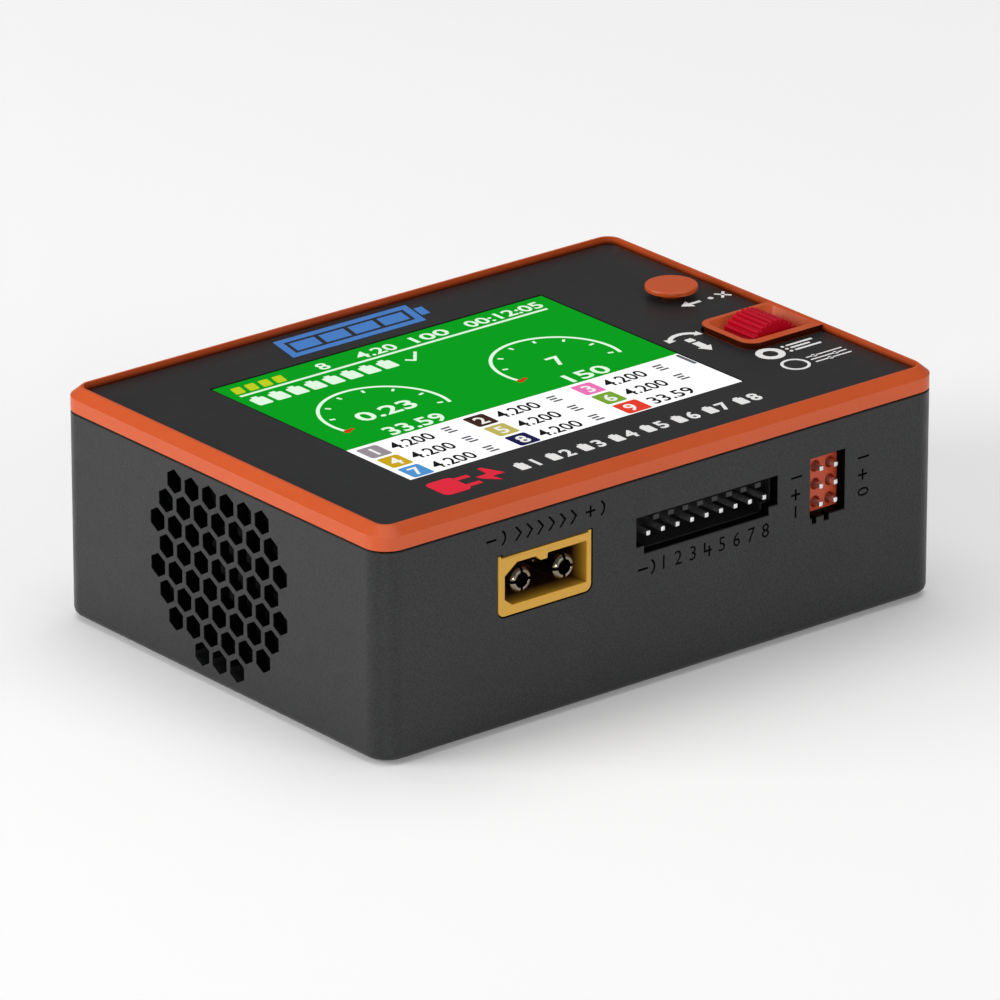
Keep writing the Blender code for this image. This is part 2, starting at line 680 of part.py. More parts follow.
def power_socket(name, centre_x, side):
    """A two-pin power connector in the front (side -1) or back (side 1) wall."""
    def face_out(bm):
        if side > 0:
            bmesh.ops.rotate(bm, verts=bm.verts, cent=(0, 0, 0), matrix=Matrix.Rotation(pi, 3, "Z"))
        return bm

    x = side * -centre_x
    mouth, floor, rear = -HALF_D + 0.05, -HALF_D + 8.5, -HALF_D + 15.6
    bm = bmesh.new()
    prism(bm, power_outline(0, x), mouth, rear, axis="Y")
    shell = finish(face_out(bm), f"{name}_housing", "connector_yellow")

    left, right, low, high = x - 6.7, x + 7.0, 17.46, 23.22
    key_low = high - 0.75
    cavity = [(left + 2.05, high), (left, high - 1.53), (left, low + 0.95), (left + 1.25, low), (right, low),
              (right, high), (x + 0.5, high), (x + 0.4, key_low), (x - 0.7, key_low), (x - 1.5, high)]
    bm = bmesh.new()
    prism(bm, cavity, mouth - 1, floor, axis="Y")
    cut(shell, face_out(bm), "cavity")
    bm = bmesh.new()
    for step in (-0.5, 0.5):
        pin_x = x + step * POWER_PIN_GAP
        rod(bm, POWER_PIN_R + 0.15, (pin_x, rear, POWER_PIN_Z), 20, "Y")
    cut(shell, face_out(bm), "pin_holes")

    for label, step in (("left", -0.5), ("right", 0.5)):
        pin_x = x + step * POWER_PIN_GAP
        tip, end = -HALF_D + POWER_RECESS, rear + 2.2
        bm = bmesh.new()
        radius = POWER_PIN_R
        turned(bm, [(0, tip), (radius - 0.35, tip), (radius, tip + 0.35), (radius, end), (0, end)],
               (pin_x, 0, POWER_PIN_Z), "Y")
        pin = finish(face_out(bm), f"{name}_pin_{label}", "contact_gold")
        bm = bmesh.new()
        block(bm, (pin_x - 1, end - 1.6, BOARD_TOP + FIT), (pin_x + 1, end - 0.4, POWER_PIN_Z))
        join(pin, face_out(bm), "tail")
        bm = bmesh.new()
        rod(bm, 1.05, (pin_x, tip, POWER_PIN_Z), 11, "Y", sides=16)
        cut(pin, face_out(bm), "bore")
        bm = bmesh.new()
        plus = [(pin_x + a, POWER_PIN_Z + b) for a, b in plus_outline(0.2, 3.0)]
        prism(bm, plus, tip - 1, tip + 4.5, axis="Y")
        cut(pin, face_out(bm), "slots")


def square_pin(name, x, z, tip, bend):
    """A bent contact: a bar along Y whose tail turns down to the board."""
    outline = [(tip, z - PIN_HALF), (bend - PIN_HALF, z - PIN_HALF), (bend - PIN_HALF, BOARD_TOP + FIT),
               (bend + PIN_HALF, BOARD_TOP + FIT), (bend + PIN_HALF, z + PIN_HALF), (tip, z + PIN_HALF)]
    bm = bmesh.new()
    prism(bm, outline, x - PIN_HALF, x + PIN_HALF, axis="X")
    finish(bm, name, "contact_tin")


def build_balance_socket():
    """The nine-pin socket for a battery's balance plug, ribbed along its ceiling."""
    mouth, floor, rear = -HALF_D + WALL + FIT, -HALF_D + 8.2, -HALF_D + 11.0
    bm = bmesh.new()
    block(bm, (BALANCE_X - 13.3, mouth, BOARD_TOP + FIT), (BALANCE_X + 12.8, rear, 24.95))
    shell = finish(bm, "balance_housing", "connector_black")
    bm = bmesh.new()
    prism(bm, balance_outline(0.02), mouth - 1, floor, axis="Y")
    cut(shell, bm, "cavity")
    low, front_high, high, half = 23.1, 23.8, 24.5, 0.5
    back = floor + 0.5
    outline = [(-HALF_D + 0.4, low), (back, low), (back, high), (mouth + 0.1, high),
               (mouth + 0.1, front_high), (-HALF_D + 0.4, front_high)]
    bm = bmesh.new()
    for i in range(BALANCE_PINS - 1):
        x = BALANCE_X + (i + 0.5 - (BALANCE_PINS - 1) / 2) * BALANCE_PITCH
        prism(bm, outline, x - half, x + half, axis="X")
    join(shell, bm, "comb")
    bm = bmesh.new()
    places = [BALANCE_X + (i - (BALANCE_PINS - 1) / 2) * BALANCE_PITCH for i in range(BALANCE_PINS)]
    for x in places:
        block(bm, (x - PIN_HOLE, floor - 1, BALANCE_Z - PIN_HOLE),
              (x + PIN_HOLE, rear + 1, BALANCE_Z + PIN_HOLE))
    cut(shell, bm, "pin_holes")
    for number, x in enumerate(places, 1):
        square_pin(f"balance_pin_{number}", x, BALANCE_Z, -HALF_D + 0.5, rear + 1.2)


def build_signal_header():
    """Six pins in a small block: two columns of three."""
    mouth, rear = -HALF_D + WALL + FIT, -HALF_D + 6.5
    bm = bmesh.new()
    block(bm, (SIGNAL_X - SIGNAL_PITCH, mouth, SIGNAL_Z - 1.5 * SIGNAL_PITCH),
          (SIGNAL_X + SIGNAL_PITCH, rear, SIGNAL_Z + 1.5 * SIGNAL_PITCH))
    shell = finish(bm, "signal_block", "connector_orange")
    wells, holes = bmesh.new(), bmesh.new()
    for column, x in (("left", SIGNAL_X - SIGNAL_PITCH / 2), ("right", SIGNAL_X + SIGNAL_PITCH / 2)):
        for row in range(3):
            z = SIGNAL_Z + (1 - row) * SIGNAL_PITCH
            rod(wells, 0.85, (x, mouth, z), 2.0, "Y", sides=12)
            block(holes, (x - PIN_HOLE, mouth - 1, z - PIN_HOLE), (x + PIN_HOLE, rear + 1, z + PIN_HOLE))
            square_pin(f"signal_pin_{column}_{row + 1}", x, z, -HALF_D + 0.5, rear + 1.2 + 2 * (2 - row))
    cut(shell, wells, "wells")
    cut(shell, holes, "pin_holes")


def build_usb_socket():
    """A small data and power socket in the back wall."""
    mouth, inner = HALF_D - 0.1, HALF_D - 7.4
    bm = bmesh.new()
    slab(bm, (USB_X - USB_HALF_X, inner, USB_Z - USB_HALF_Z),
         (USB_X + USB_HALF_X, mouth, USB_Z + USB_HALF_Z), USB_CORNER, 5, axis=1)
    shell = finish(bm, "usb_shell", "contact_tin")
    half_x, half_z = USB_HALF_X - USB_METAL, USB_HALF_Z - USB_METAL
    bm = bmesh.new()
    slab(bm, (USB_X - half_x, inner + 0.4, USB_Z - half_z),
         (USB_X + half_x, mouth + 1, USB_Z + half_z), USB_CORNER - USB_METAL, 5, axis=1)
    cut(shell, bm, "cavity")
    bm = bmesh.new()
    block(bm, (USB_X - 3.35, inner + 0.7, USB_Z - 0.35), (USB_X + 3.35, mouth - 1.2, USB_Z + 0.35))
    finish(bm, "usb_tongue", "connector_black")


# ---------------------------------------------------------------- controls

def build_exit_button():
    """A round cap whose neck goes down through the panel onto the plunger of a small switch."""
    low, cap_low, edge = 29.5, BUTTON_TOP - 0.8, 0.12
    press = axis_empty("exit_button_axis", (BUTTON_X, BUTTON_Y, low))
    profile = [(0, low), (NECK_R, low), (NECK_R, cap_low - edge), (BUTTON_R, cap_low + edge)]
    profile += [(BUTTON_R, BUTTON_TOP - edge), (BUTTON_R - edge, BUTTON_TOP), (0, BUTTON_TOP)]
    bm = bmesh.new()
    turned(bm, profile, (BUTTON_X, BUTTON_Y, 0), sides=40)
    finish(bm, "exit_button", "bezel_orange", (BUTTON_X, BUTTON_Y, low), press)

    bm = bmesh.new()
    low, high = UI_TOP + FIT, 28.5
    block(bm, (BUTTON_X - 3, BUTTON_Y - 3, low), (BUTTON_X + 3, BUTTON_Y + 3, high))
    switch = finish(bm, "exit_switch", "connector_black")
    bm = bmesh.new()
    rod(bm, 2.0, (BUTTON_X, BUTTON_Y, high), 8)
    cut(switch, bm, "plunger_hole")
    bm = bmesh.new()
    rod(bm, 1.7, (BUTTON_X, BUTTON_Y, 28.3), 1.8)
    finish(bm, "exit_switch_plunger", "plunger_white", (BUTTON_X, BUTTON_Y, 28.3), press)


def gear_outline(teeth, tip, root):
    """Flat-topped ridges round a wheel, as points in its plane."""
    points = []
    for i in range(teeth):
        for part, radius in ((-0.36, root), (-0.2, tip), (0.2, tip), (0.36, root)):
            angle = 2 * pi * (i + part) / teeth
            points.append((WHEEL_X + radius * cos(angle), WHEEL_Z + radius * sin(angle)))
    return points


def cradle_outline(front, back, low, high, side):
    """A U in the YZ plane, with a floor 1 mm thick between its two sides."""
    floor = low + 1.0
    return [(front, low), (back, low), (back, high), (back - side, high),
            (back - side, floor), (front + side, floor), (front + side, high), (front, high)]


def build_scroll_wheel():
    """A ridged wheel on a carrier that also presses down onto a switch."""
    front, back = WHEEL_Y - WHEEL_HALF, WHEEL_Y + WHEEL_HALF
    press = axis_empty("wheel_press_axis", (WHEEL_X, WHEEL_Y, CARRIER_LOW))
    spin = axis_empty("wheel_spin_axis", (WHEEL_X, WHEEL_Y, WHEEL_Z), press)
    centre = (WHEEL_X, WHEEL_Y, WHEEL_Z)

    bm = bmesh.new()
    prism(bm, gear_outline(WHEEL_TEETH, WHEEL_R, WHEEL_R - TOOTH_DEPTH), front, back, axis="Y")
    wheel = finish(bm, "scroll_wheel", "wheel_red", centre, spin)
    bm = bmesh.new()
    rod(bm, AXLE_R + 0.15, centre, 20, "Y")
    cut(wheel, bm, "axle_bore")
    bm = bmesh.new()
    rod(bm, AXLE_R, centre, 2 * WHEEL_HALF + 3.0, "Y")
    finish(bm, "wheel_axle", "contact_tin", centre, spin)

    arm, gap = 1.0, 0.45
    bm = bmesh.new()
    prism(bm, cradle_outline(front - gap - arm, back + gap + arm, CARRIER_LOW, 30.85, arm),
          WHEEL_X - 2.6, WHEEL_X + 2.6, axis="X")
    carrier = finish(bm, "wheel_carrier", "connector_black", (WHEEL_X, WHEEL_Y, CARRIER_LOW), press)
    bm = bmesh.new()
    rod(bm, 1.0, (WHEEL_X, WHEEL_Y, CARRIER_LOW - 0.4), 1.6)
    join(carrier, bm, "switch_foot")
    bm = bmesh.new()
    rod(bm, AXLE_R + 0.1, centre, 20, "Y")
    cut(carrier, bm, "axle_holes")

    bm = bmesh.new()
    prism(bm, cradle_outline(-12.05, -0.95, 19.0, 25.9, 0.65), WHEEL_X - 3.5, WHEEL_X + 3.5, axis="X")
    finish(bm, "encoder_base", "screen_steel")

    bm = bmesh.new()
    block(bm, (WHEEL_X - 2.5, WHEEL_Y - 2.5, 20.3), (WHEEL_X + 2.5, WHEEL_Y + 2.5, 21.9))
    switch = finish(bm, "wheel_switch", "connector_black")
    bm = bmesh.new()
    rod(bm, 1.3, (WHEEL_X, WHEEL_Y, 21), 8)
    cut(switch, bm, "plunger_hole")


# ---------------------------------------------------------------- fan

def build_fan():
    """A 25 mm fan behind the left grille: frame, impeller, shaft, lead and socket."""
    bm = bmesh.new()
    slab(bm, (FAN_OUT, -FAN_HALF, FAN_Z - FAN_HALF), (FAN_IN, FAN_HALF, FAN_Z + FAN_HALF), 1.8, 3, axis=0)
    frame = finish(bm, "fan_frame", "fan_black")
    bm = bmesh.new()
    rod(bm, FAN_BORE, (FAN_OUT + 5, 0, FAN_Z), 14, "X", sides=36)
    for y, z in corners(10.3, 10.3):
        rod(bm, 1.4, (FAN_OUT + 5, y, FAN_Z + z), 14, "X", sides=12)
    cut(frame, bm, "bore")
    strut_out = FAN_IN - 1.2
    bm = bmesh.new()
    block(bm, (strut_out, -12.1, FAN_Z - 0.7), (FAN_IN - 0.1, 12.1, FAN_Z + 0.7))
    join(frame, bm, "strut_flat")
    bm = bmesh.new()
    block(bm, (strut_out, -0.7, FAN_Z - 12.1), (FAN_IN - 0.1, 0.7, FAN_Z + 12.1))
    join(frame, bm, "strut_upright")
    bm = bmesh.new()
    rod(bm, 5.2, (FAN_IN - 0.75, 0, FAN_Z), 1.5, "X")
    join(frame, bm, "motor_plate")
    bm = bmesh.new()
    rod(bm, 1.9, (FAN_IN - 3.0, 0, FAN_Z), 4.4, "X")
    join(frame, bm, "bearing_tube")
    bm = bmesh.new()
    rod(bm, 0.85, (FAN_IN - 3.0, 0, FAN_Z), 12, "X", sides=16)
    cut(frame, bm, "shaft_bore")

    centre = (FAN_OUT + 4.0, 0, FAN_Z)
    spin = axis_empty("fan_spin_axis", centre)
    face, rear = FAN_OUT + 0.8, FAN_IN - 1.9
    bm = bmesh.new()
    turned(bm, [(0, face), (HUB_R - 0.6, face), (HUB_R, face + 0.6), (HUB_R, rear), (HUB_R - 0.7, rear),
                (HUB_R - 0.7, face + 1.0), (0, face + 1.0)], (0, 0, FAN_Z), "X")
    impeller = finish(bm, "fan_impeller", "fan_black", centre, spin)
    bm = bmesh.new()
    middle = (face + 0.5 + rear) / 2
    for i in range(BLADES):
        verts = block(bm, (-3.5, -0.45, HUB_R - 0.4), (3.5, 0.45, 11.0))
        tilt = Matrix.Rotation(radians(40), 4, "Z")
        around = Matrix.Rotation(2 * pi * i / BLADES, 4, "X")
        place = Matrix.Translation((middle, 0, FAN_Z)) @ around @ tilt
        bmesh.ops.transform(bm, matrix=place, verts=verts)
    join(impeller, bm, "blades")
    bm = bmesh.new()
    rod(bm, 0.75, ((face + 1.3 + FAN_IN - 0.4) / 2, 0, FAN_Z), FAN_IN - 0.4 - face - 1.3, "X", sides=16)
    finish(bm, "fan_shaft", "contact_tin", centre, spin)

    bm = bmesh.new()
    block(bm, (-33.6, -14.6, BOARD_TOP + FIT), (-28.4, -11.0, 20.4))
    finish(bm, "fan_socket", "plunger_white")
    build_fan_lead()


def build_fan_lead():
    """A short lead from the fan's lower corner over to its socket on the board."""
    route = [(FAN_IN + 0.3, -10.0, 24.4), (FAN_IN + 0.9, -10.0, 24.5), (FAN_IN + 1.7, -10.3, 24.4),
             (FAN_IN + 2.7, -10.9, 24.0), (FAN_IN + 3.6, -11.7, 23.2), (FAN_IN + 4.3, -12.4, 22.2),
             (FAN_IN + 4.7, -12.8, 20.8)]
    curve = bpy.data.curves.new("fan_lead", "CURVE")
    curve.dimensions = "3D"
    curve.bevel_depth = 0.55 * MM
    curve.bevel_resolution = 2
    curve.use_fill_caps = True
    spline = curve.splines.new("POLY")
    spline.points.add(len(route) - 1)
    for point, place in zip(spline.points, route):
        point.co = (*[value * MM for value in place], 1.0)
    curve.materials.append(PAINT["lead_red"])
    lead = bpy.data.objects.new("fan_lead", curve)
    PARTS.objects.link(lead)


# ---------------------------------------------------------------- screws and feet

def build_screws_and_feet():
    """Four long screws up into the cover, and four round rubber feet."""
    head_low, head_high, head_r, edge, shank_r, tip = 1.7, 3.2, 2.3, 0.4, 1.15, 28.9
    profile = [(0, head_low), (head_r - edge, head_low), (head_r, head_low + edge), (head_r, head_high)]
    profile += [(shank_r, head_high), (shank_r, tip - FIT), (0, tip)]
    for x, y in corners(POST_X, POST_Y):
        bm = bmesh.new()
        turned(bm, profile, (x, y, 0), sides=16)
        screw = finish(bm, f"case_screw_{corner_name(x, y)}", "screw_steel")
        bm = bmesh.new()
        prism(bm, [(x + a, y + b) for a, b in plus_outline(0.3, 1.3)], head_low - 1, head_low + 1)
        cut(screw, bm, "cross")
    edge, foot_top = 0.3, 0.8
    profile = [(0, 0), (FOOT_R - edge, 0), (FOOT_R, edge), (FOOT_R, foot_top), (0, foot_top)]
    for x, y in corners(FOOT_X, FOOT_Y):
        bm = bmesh.new()
        turned(bm, profile, (x, y, 0))
        finish(bm, f"foot_{corner_name(x, y)}", "foot_rubber")


def main():
    global PARTS, TOOLS
    clear_scene()
    PARTS = collection("balance_charger")
    TOOLS = collection("cutters")
    paint("case_black", (0.035, 0.036, 0.038), 0.5)
    paint("bezel_orange", (0.62, 0.12, 0.03), 0.4)
    paint("panel_black", (0.03, 0.031, 0.033), 0.55)
    paint("clear_glass", (0.02, 0.35, 0.04), 0.1)
    paint("screen_steel", (0.6, 0.6, 0.6), 0.35, 1.0)
    paint("ribbon_amber", (0.5, 0.25, 0.05), 0.4)
    paint("connector_black", (0.015, 0.015, 0.015), 0.5)
    paint("connector_yellow", (0.65, 0.36, 0.04), 0.45)
    paint("connector_orange", (0.62, 0.12, 0.03), 0.45)
    paint("contact_gold", (0.5, 0.38, 0.18), 0.3, 1.0)
    paint("contact_tin", (0.75, 0.75, 0.75), 0.25, 1.0)
    paint("board_green", (0.02, 0.12, 0.05), 0.5)
    paint("aluminium", (0.7, 0.7, 0.72), 0.4, 1.0)
    paint("ferrite_grey", (0.08, 0.08, 0.085), 0.6)
    paint("capacitor_silver", (0.65, 0.65, 0.67), 0.35, 1.0)
    paint("plunger_white", (0.8, 0.8, 0.78), 0.5)
    paint("wheel_red", (0.5, 0.01, 0.02), 0.4)
    paint("fan_black", (0.012, 0.012, 0.012), 0.5)
    paint("lead_red", (0.5, 0.02, 0.02), 0.5)
    paint("screw_steel", (0.2, 0.2, 0.2), 0.4, 1.0)
    paint("foot_rubber", (0.02, 0.02, 0.02), 0.85)
    build_bottom_case()
    build_bezel()
    build_panel()
    build_screen()
    build_boards()
    build_board_parts()
    power_socket("output", -POWER_X, -1)
    power_socket("input", POWER_X, 1)
    build_balance_socket()
    build_signal_header()
    build_usb_socket()
    build_exit_button()
    build_scroll_wheel()
    build_fan()
    build_screws_and_feet()


main()
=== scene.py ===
"""Looks of the balance battery charger: materials, display picture, prints, light and camera.

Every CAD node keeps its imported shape. Here it is welded, flattened back into whole faces and
given fine rounded edges by modifiers, and gets its finish. The display's picture and the prints
on the panel are thin slabs of their own. Lengths are in millimetres, and MM turns them into
Blender's metres.
"""

from math import cos, hypot, radians, sin

import bmesh
import bpy
from mathutils import Matrix, Vector


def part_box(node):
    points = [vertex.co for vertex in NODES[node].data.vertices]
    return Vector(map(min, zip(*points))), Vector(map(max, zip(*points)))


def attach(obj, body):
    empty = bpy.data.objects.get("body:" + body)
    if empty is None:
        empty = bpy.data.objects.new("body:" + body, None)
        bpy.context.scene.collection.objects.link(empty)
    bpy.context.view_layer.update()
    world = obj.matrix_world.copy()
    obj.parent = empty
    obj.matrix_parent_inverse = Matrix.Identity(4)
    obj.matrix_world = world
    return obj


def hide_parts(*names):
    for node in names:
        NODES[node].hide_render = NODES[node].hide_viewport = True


MM = 0.001
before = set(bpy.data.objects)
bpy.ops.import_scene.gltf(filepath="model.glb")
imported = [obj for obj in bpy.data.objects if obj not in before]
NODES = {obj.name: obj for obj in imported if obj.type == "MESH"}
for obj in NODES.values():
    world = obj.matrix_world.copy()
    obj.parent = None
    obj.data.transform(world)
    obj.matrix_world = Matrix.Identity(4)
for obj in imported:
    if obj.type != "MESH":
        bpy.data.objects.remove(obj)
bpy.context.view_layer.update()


def box_mm(node):
    """A CAD node's lowest and highest corners in millimetres."""
    low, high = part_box(node)
    return low / MM, high / MM


PANEL_TOP = box_mm("top_panel")[1].z
LENS_LOW, LENS_HIGH = box_mm("screen_lens")
CASE_LOW, CASE_HIGH = box_mm("bottom_case")

# ---------------------------------------------------------------- colours, linear


def srgb(red, green, blue):
    """A display colour, 0 to 255 a channel, as a linear one."""
    def linear(value):
        value /= 255
        return value / 12.92 if value <= 0.04045 else ((value + 0.055) / 1.055) ** 2.4
    return linear(red), linear(green), linear(blue)


# ---------------------------------------------------------------- material tools

class Shader:
    """One material's node tree, with short calls for the nodes that this script uses."""

    def __init__(self, name, colour, roughness, metallic=0.0, **inputs):
        self.material = bpy.data.materials.new(name)
        self.material.use_nodes = True
        self.tree = self.material.node_tree
        self.bsdf = self.tree.nodes["Principled BSDF"]
        self.colour = colour
        self.roughness = roughness
        self.set("Base Color", (*colour, 1.0))
        self.set("Roughness", roughness)
        self.set("Metallic", metallic)
        for socket, value in inputs.items():
            self.set(socket.replace("_", " "), value)
        self.material.diffuse_color = (*colour, 1.0)

    def set(self, socket, value):
        self.bsdf.inputs[socket].default_value = value

    def node(self, kind, **values):
        made = self.tree.nodes.new(kind)
        for key, value in values.items():
            setattr(made, key, value)
        return made

    def link(self, source, target):
        self.tree.links.new(source, target)

    def place(self):
        return self.node("ShaderNodeTexCoord").outputs["Object"]

    def noise(self, size_mm, detail=3.0, rough=0.55, stretch=None):
        """A noise in object space whose lumps are about size_mm across."""
        source = self.place()
        if stretch:
            mapping = self.node("ShaderNodeMapping")
            mapping.inputs["Scale"].default_value = stretch
            self.link(source, mapping.inputs["Vector"])
            source = mapping.outputs["Vector"]
        texture = self.node("ShaderNodeTexNoise")
        texture.inputs["Scale"].default_value = 1 / (size_mm * MM)
        texture.inputs["Detail"].default_value = detail
        texture.inputs["Roughness"].default_value = rough
        self.link(source, texture.inputs["Vector"])
        return texture.outputs["Fac"]

    def cells(self, size_mm):
        """Distance to the nearest of scattered points about size_mm apart."""
        texture = self.node("ShaderNodeTexVoronoi")
        texture.inputs["Scale"].default_value = 1 / (size_mm * MM)
        self.link(self.place(), texture.inputs["Vector"])
        return texture.outputs["Distance"]

    def span(self, value, low, high, start=0.0, end=1.0):
        """Map a value from start..end to low..high, clamped."""
        made = self.node("ShaderNodeMapRange")
        made.inputs["From Min"].default_value = start
        made.inputs["From Max"].default_value = end
        made.inputs["To Min"].default_value = low
        made.inputs["To Max"].default_value = high
        self.link(value, made.inputs["Value"])
        return made.outputs["Result"]

    def math(self, operation, first, second):
        made = self.node("ShaderNodeMath", operation=operation)
        for socket, value in zip(made.inputs, (first, second)):
            if isinstance(value, (int, float)):
                socket.default_value = value
            else:
                self.link(value, socket)
        return made.outputs[0]

    def parts_of(self, vector):
        """The X, Y and Z outputs of a vector."""
        split = self.node("ShaderNodeSeparateXYZ")
        self.link(vector, split.inputs["Vector"])
        return [split.outputs[axis] for axis in "XYZ"]

    def between(self, value, low, high):
        """1 where a place in metres lies between two values in millimetres.

        From a low of 0 up, the place's sign is left out, so that both sides of the object are covered.
        """
        if low >= 0:
            value = self.math("ABSOLUTE", value, 0.0)
        above = self.math("GREATER_THAN", value, low * MM)
        return self.math("MULTIPLY", above, self.math("LESS_THAN", value, high * MM))

    def all_of(self, first, *others):
        """1 where every one of the given values is 1."""
        for other in others:
            first = self.math("MULTIPLY", first, other)
        return first

    def scaled(self, colour, factor):
        """A colour output multiplied by a number output."""
        made = self.node("ShaderNodeVectorMath", operation="SCALE")
        self.link(colour, made.inputs[0])
        self.link(factor, made.inputs["Scale"])
        return made.outputs["Vector"]

    def mix(self, factor, first, second):
        """A colour mix of two colours or colour outputs."""
        made = self.node("ShaderNodeMix", data_type="RGBA")
        self.link(factor, made.inputs["Factor"])
        for name, value in (("A", first), ("B", second)):
            socket = [s for s in made.inputs if s.name == name and s.type == "RGBA"][0]
            if isinstance(value, tuple):
                socket.default_value = (*value, 1.0)
            else:
                self.link(value, socket)
        return [s for s in made.outputs if s.type == "RGBA"][0]

    def vary_colour(self, factor, amount):
        """Lighten and darken the base colour by amount, as factor goes from 0 to 1."""
        dark = tuple(c * (1 - amount) for c in self.colour)
        light = tuple(min(1.0, c * (1 + amount)) for c in self.colour)
        result = self.mix(factor, dark, light)
        self.link(result, self.bsdf.inputs["Base Color"])
        return result

    def vary_roughness(self, factor, amount):
        low, high = self.roughness - amount, self.roughness + amount
        self.link(self.span(factor, low, high, 0.3, 0.7), self.bsdf.inputs["Roughness"])

    def bump(self, height, depth_mm, strength=1.0):
        """Add one bump on top of those already there; depth_mm is its full height."""
        made = self.node("ShaderNodeBump")
        made.inputs["Strength"].default_value = strength
        made.inputs["Distance"].default_value = depth_mm * MM
        self.link(height, made.inputs["Height"])
        before = self.bsdf.inputs["Normal"].links
        if before:
            self.link(before[0].from_socket, made.inputs["Normal"])
        self.link(made.outputs["Normal"], self.bsdf.inputs["Normal"])


def moulded(name, colour, roughness, grain_mm=0.22, grain_depth=0.006, shade=0.1, **inputs):
    """Moulded plastic: spark-eroded grain, faint flow shading and slightly uneven gloss."""
    made = Shader(name, colour, roughness, **inputs)
    broad = made.noise(14.0, detail=2.0)
    fine = made.noise(grain_mm, detail=2.0, rough=0.6)
    both = made.math("ADD", made.math("MULTIPLY", broad, 0.45), made.math("MULTIPLY", fine, 0.55))
    made.vary_colour(made.span(both, 0.0, 1.0, 0.3, 0.7), shade)
    made.vary_roughness(made.noise(3.0, detail=4.0), 0.05)
    made.bump(made.noise(grain_mm, detail=3.0, rough=0.65), grain_depth)
    made.bump(made.cells(grain_mm * 1.7), grain_depth * 0.6)
    return made


WALL_DEPTH = 0.13, 1.6
ENGRAVED_DEPTH = 0.1, 0.4
ENGRAVED_X = -36.0, 40.0
OPENING_Z = 4.0, 28.5
GRILLE_REACH_Y = 16.0
CONNECTOR_REACH_X = 36.0
ALONG_WALL = 0.3
FACING_FRONT = -0.7
# Near-black for the floors of the engraving, and for the painted shade on the inner walls of the openings.
ENGRAVING_AND_SHADE_BLACK = (0.0025, 0.0025, 0.0025)


def inside_walls(made, across, along, outside, reach, level, across_normal):
    """1 on the inner faces of the openings in the two walls that stand across one axis, where the case's
    shade is painted.
    """
    shallow, deep = WALL_DEPTH
    in_wall = made.between(across, outside - deep, outside - shallow)
    edge_on = made.math("LESS_THAN", made.math("ABSOLUTE", across_normal, 0.0), ALONG_WALL)
    return made.all_of(in_wall, made.between(along, 0.0, reach), level, edge_on)


def case_finish():
    """Black case plastic, darker on the floors of the engraving, with painted shade on the walls of its
    openings.
    """
    gloss = 0.38
    made = moulded("case_black_grained", (0.0135, 0.014, 0.0145), 0.38, shade=0.2,
                   grain_mm=0.26, grain_depth=0.012, Specular_IOR_Level=gloss)
    speckle = made.span(made.noise(0.3, detail=2.0, rough=0.75), 0.55, 1.5, 0.36, 0.64)
    plain = made.scaled(made.bsdf.inputs["Base Color"].links[0].from_socket, speckle)
    x, y, z = made.parts_of(made.place())
    normal = made.parts_of(made.node("ShaderNodeNewGeometry").outputs["True Normal"])
    level = made.between(z, *OPENING_Z)
    engraved_y = [CASE_LOW.y + depth for depth in ENGRAVED_DEPTH]
    engraved = made.all_of(made.between(y, *engraved_y), made.between(x, *ENGRAVED_X), level,
                           made.math("LESS_THAN", normal[1], FACING_FRONT))
    # Painted shade: the inner walls of the grille holes and connector windows get near-black colour and
    # almost no gloss, as do the engraving floors.
    sides = inside_walls(made, x, y, CASE_HIGH.x, GRILLE_REACH_Y, level, normal[0])
    ends = inside_walls(made, y, x, CASE_HIGH.y, CONNECTOR_REACH_X, level, normal[1])
    darker = made.math("MAXIMUM", engraved, made.math("MAXIMUM", sides, ends))
    made.link(made.mix(darker, plain, ENGRAVING_AND_SHADE_BLACK), made.bsdf.inputs["Base Color"])
    made.link(made.span(darker, gloss, 0.02), made.bsdf.inputs["Specular IOR Level"])
    return made


def bezel_finish():
    """Orange cover plastic, with painted shade on the undercut of the surround and low on the rim's inner
    wall.
    """
    gloss = 0.42
    made = moulded("bezel_orange_moulded", (0.58, 0.083, 0.013), 0.36,
                   grain_depth=0.004, shade=0.05, Specular_IOR_Level=gloss)
    z = made.parts_of(made.place())[2]
    upward = made.parts_of(made.node("ShaderNodeNewGeometry").outputs["True Normal"])[2]
    # Painted shade: the undercut faces, and the rim's inner wall near the panel, go near-black with little
    # gloss.
    near_panel = made.between(z, PANEL_TOP - 0.15, PANEL_TOP + 0.82)
    undercut = made.all_of(near_panel, made.math("LESS_THAN", upward, -0.1), 0.93)
    low_on_wall = made.span(z, 0.85, 0.0, PANEL_TOP * MM, (PANEL_TOP + 0.6) * MM)
    inner_wall = made.all_of(near_panel, made.math("LESS_THAN", upward, 0.3), low_on_wall)
    shade = made.math("MAXIMUM", undercut, inner_wall)
    plain = made.bsdf.inputs["Base Color"].links[0].from_socket
    made.link(made.mix(shade, plain, (0.012, 0.002, 0.001)), made.bsdf.inputs["Base Color"])
    made.link(made.span(shade, gloss, 0.05), made.bsdf.inputs["Specular IOR Level"])
    return made


def socket_finish():
    """Amber nylon with painted shade that deepens towards the back of the two power sockets."""
    made = moulded("connector_amber_nylon", (0.62, 0.33, 0.030), 0.4,
                   grain_mm=0.18, grain_depth=0.004, shade=0.07)
    y = made.parts_of(made.place())[1]
    # Painted shade: the colour goes to near-black from 0.3 to 3.2 mm in from the socket's mouth.
    depth = made.math("SUBTRACT", CASE_HIGH.y * MM, made.math("ABSOLUTE", y, 0.0))
    shade = made.span(depth, 0.0, 1.0, 0.3 * MM, 3.2 * MM)
    plain = made.bsdf.inputs["Base Color"].links[0].from_socket
    made.link(made.mix(shade, plain, (0.035, 0.010, 0.003)), made.bsdf.inputs["Base Color"])
    return made


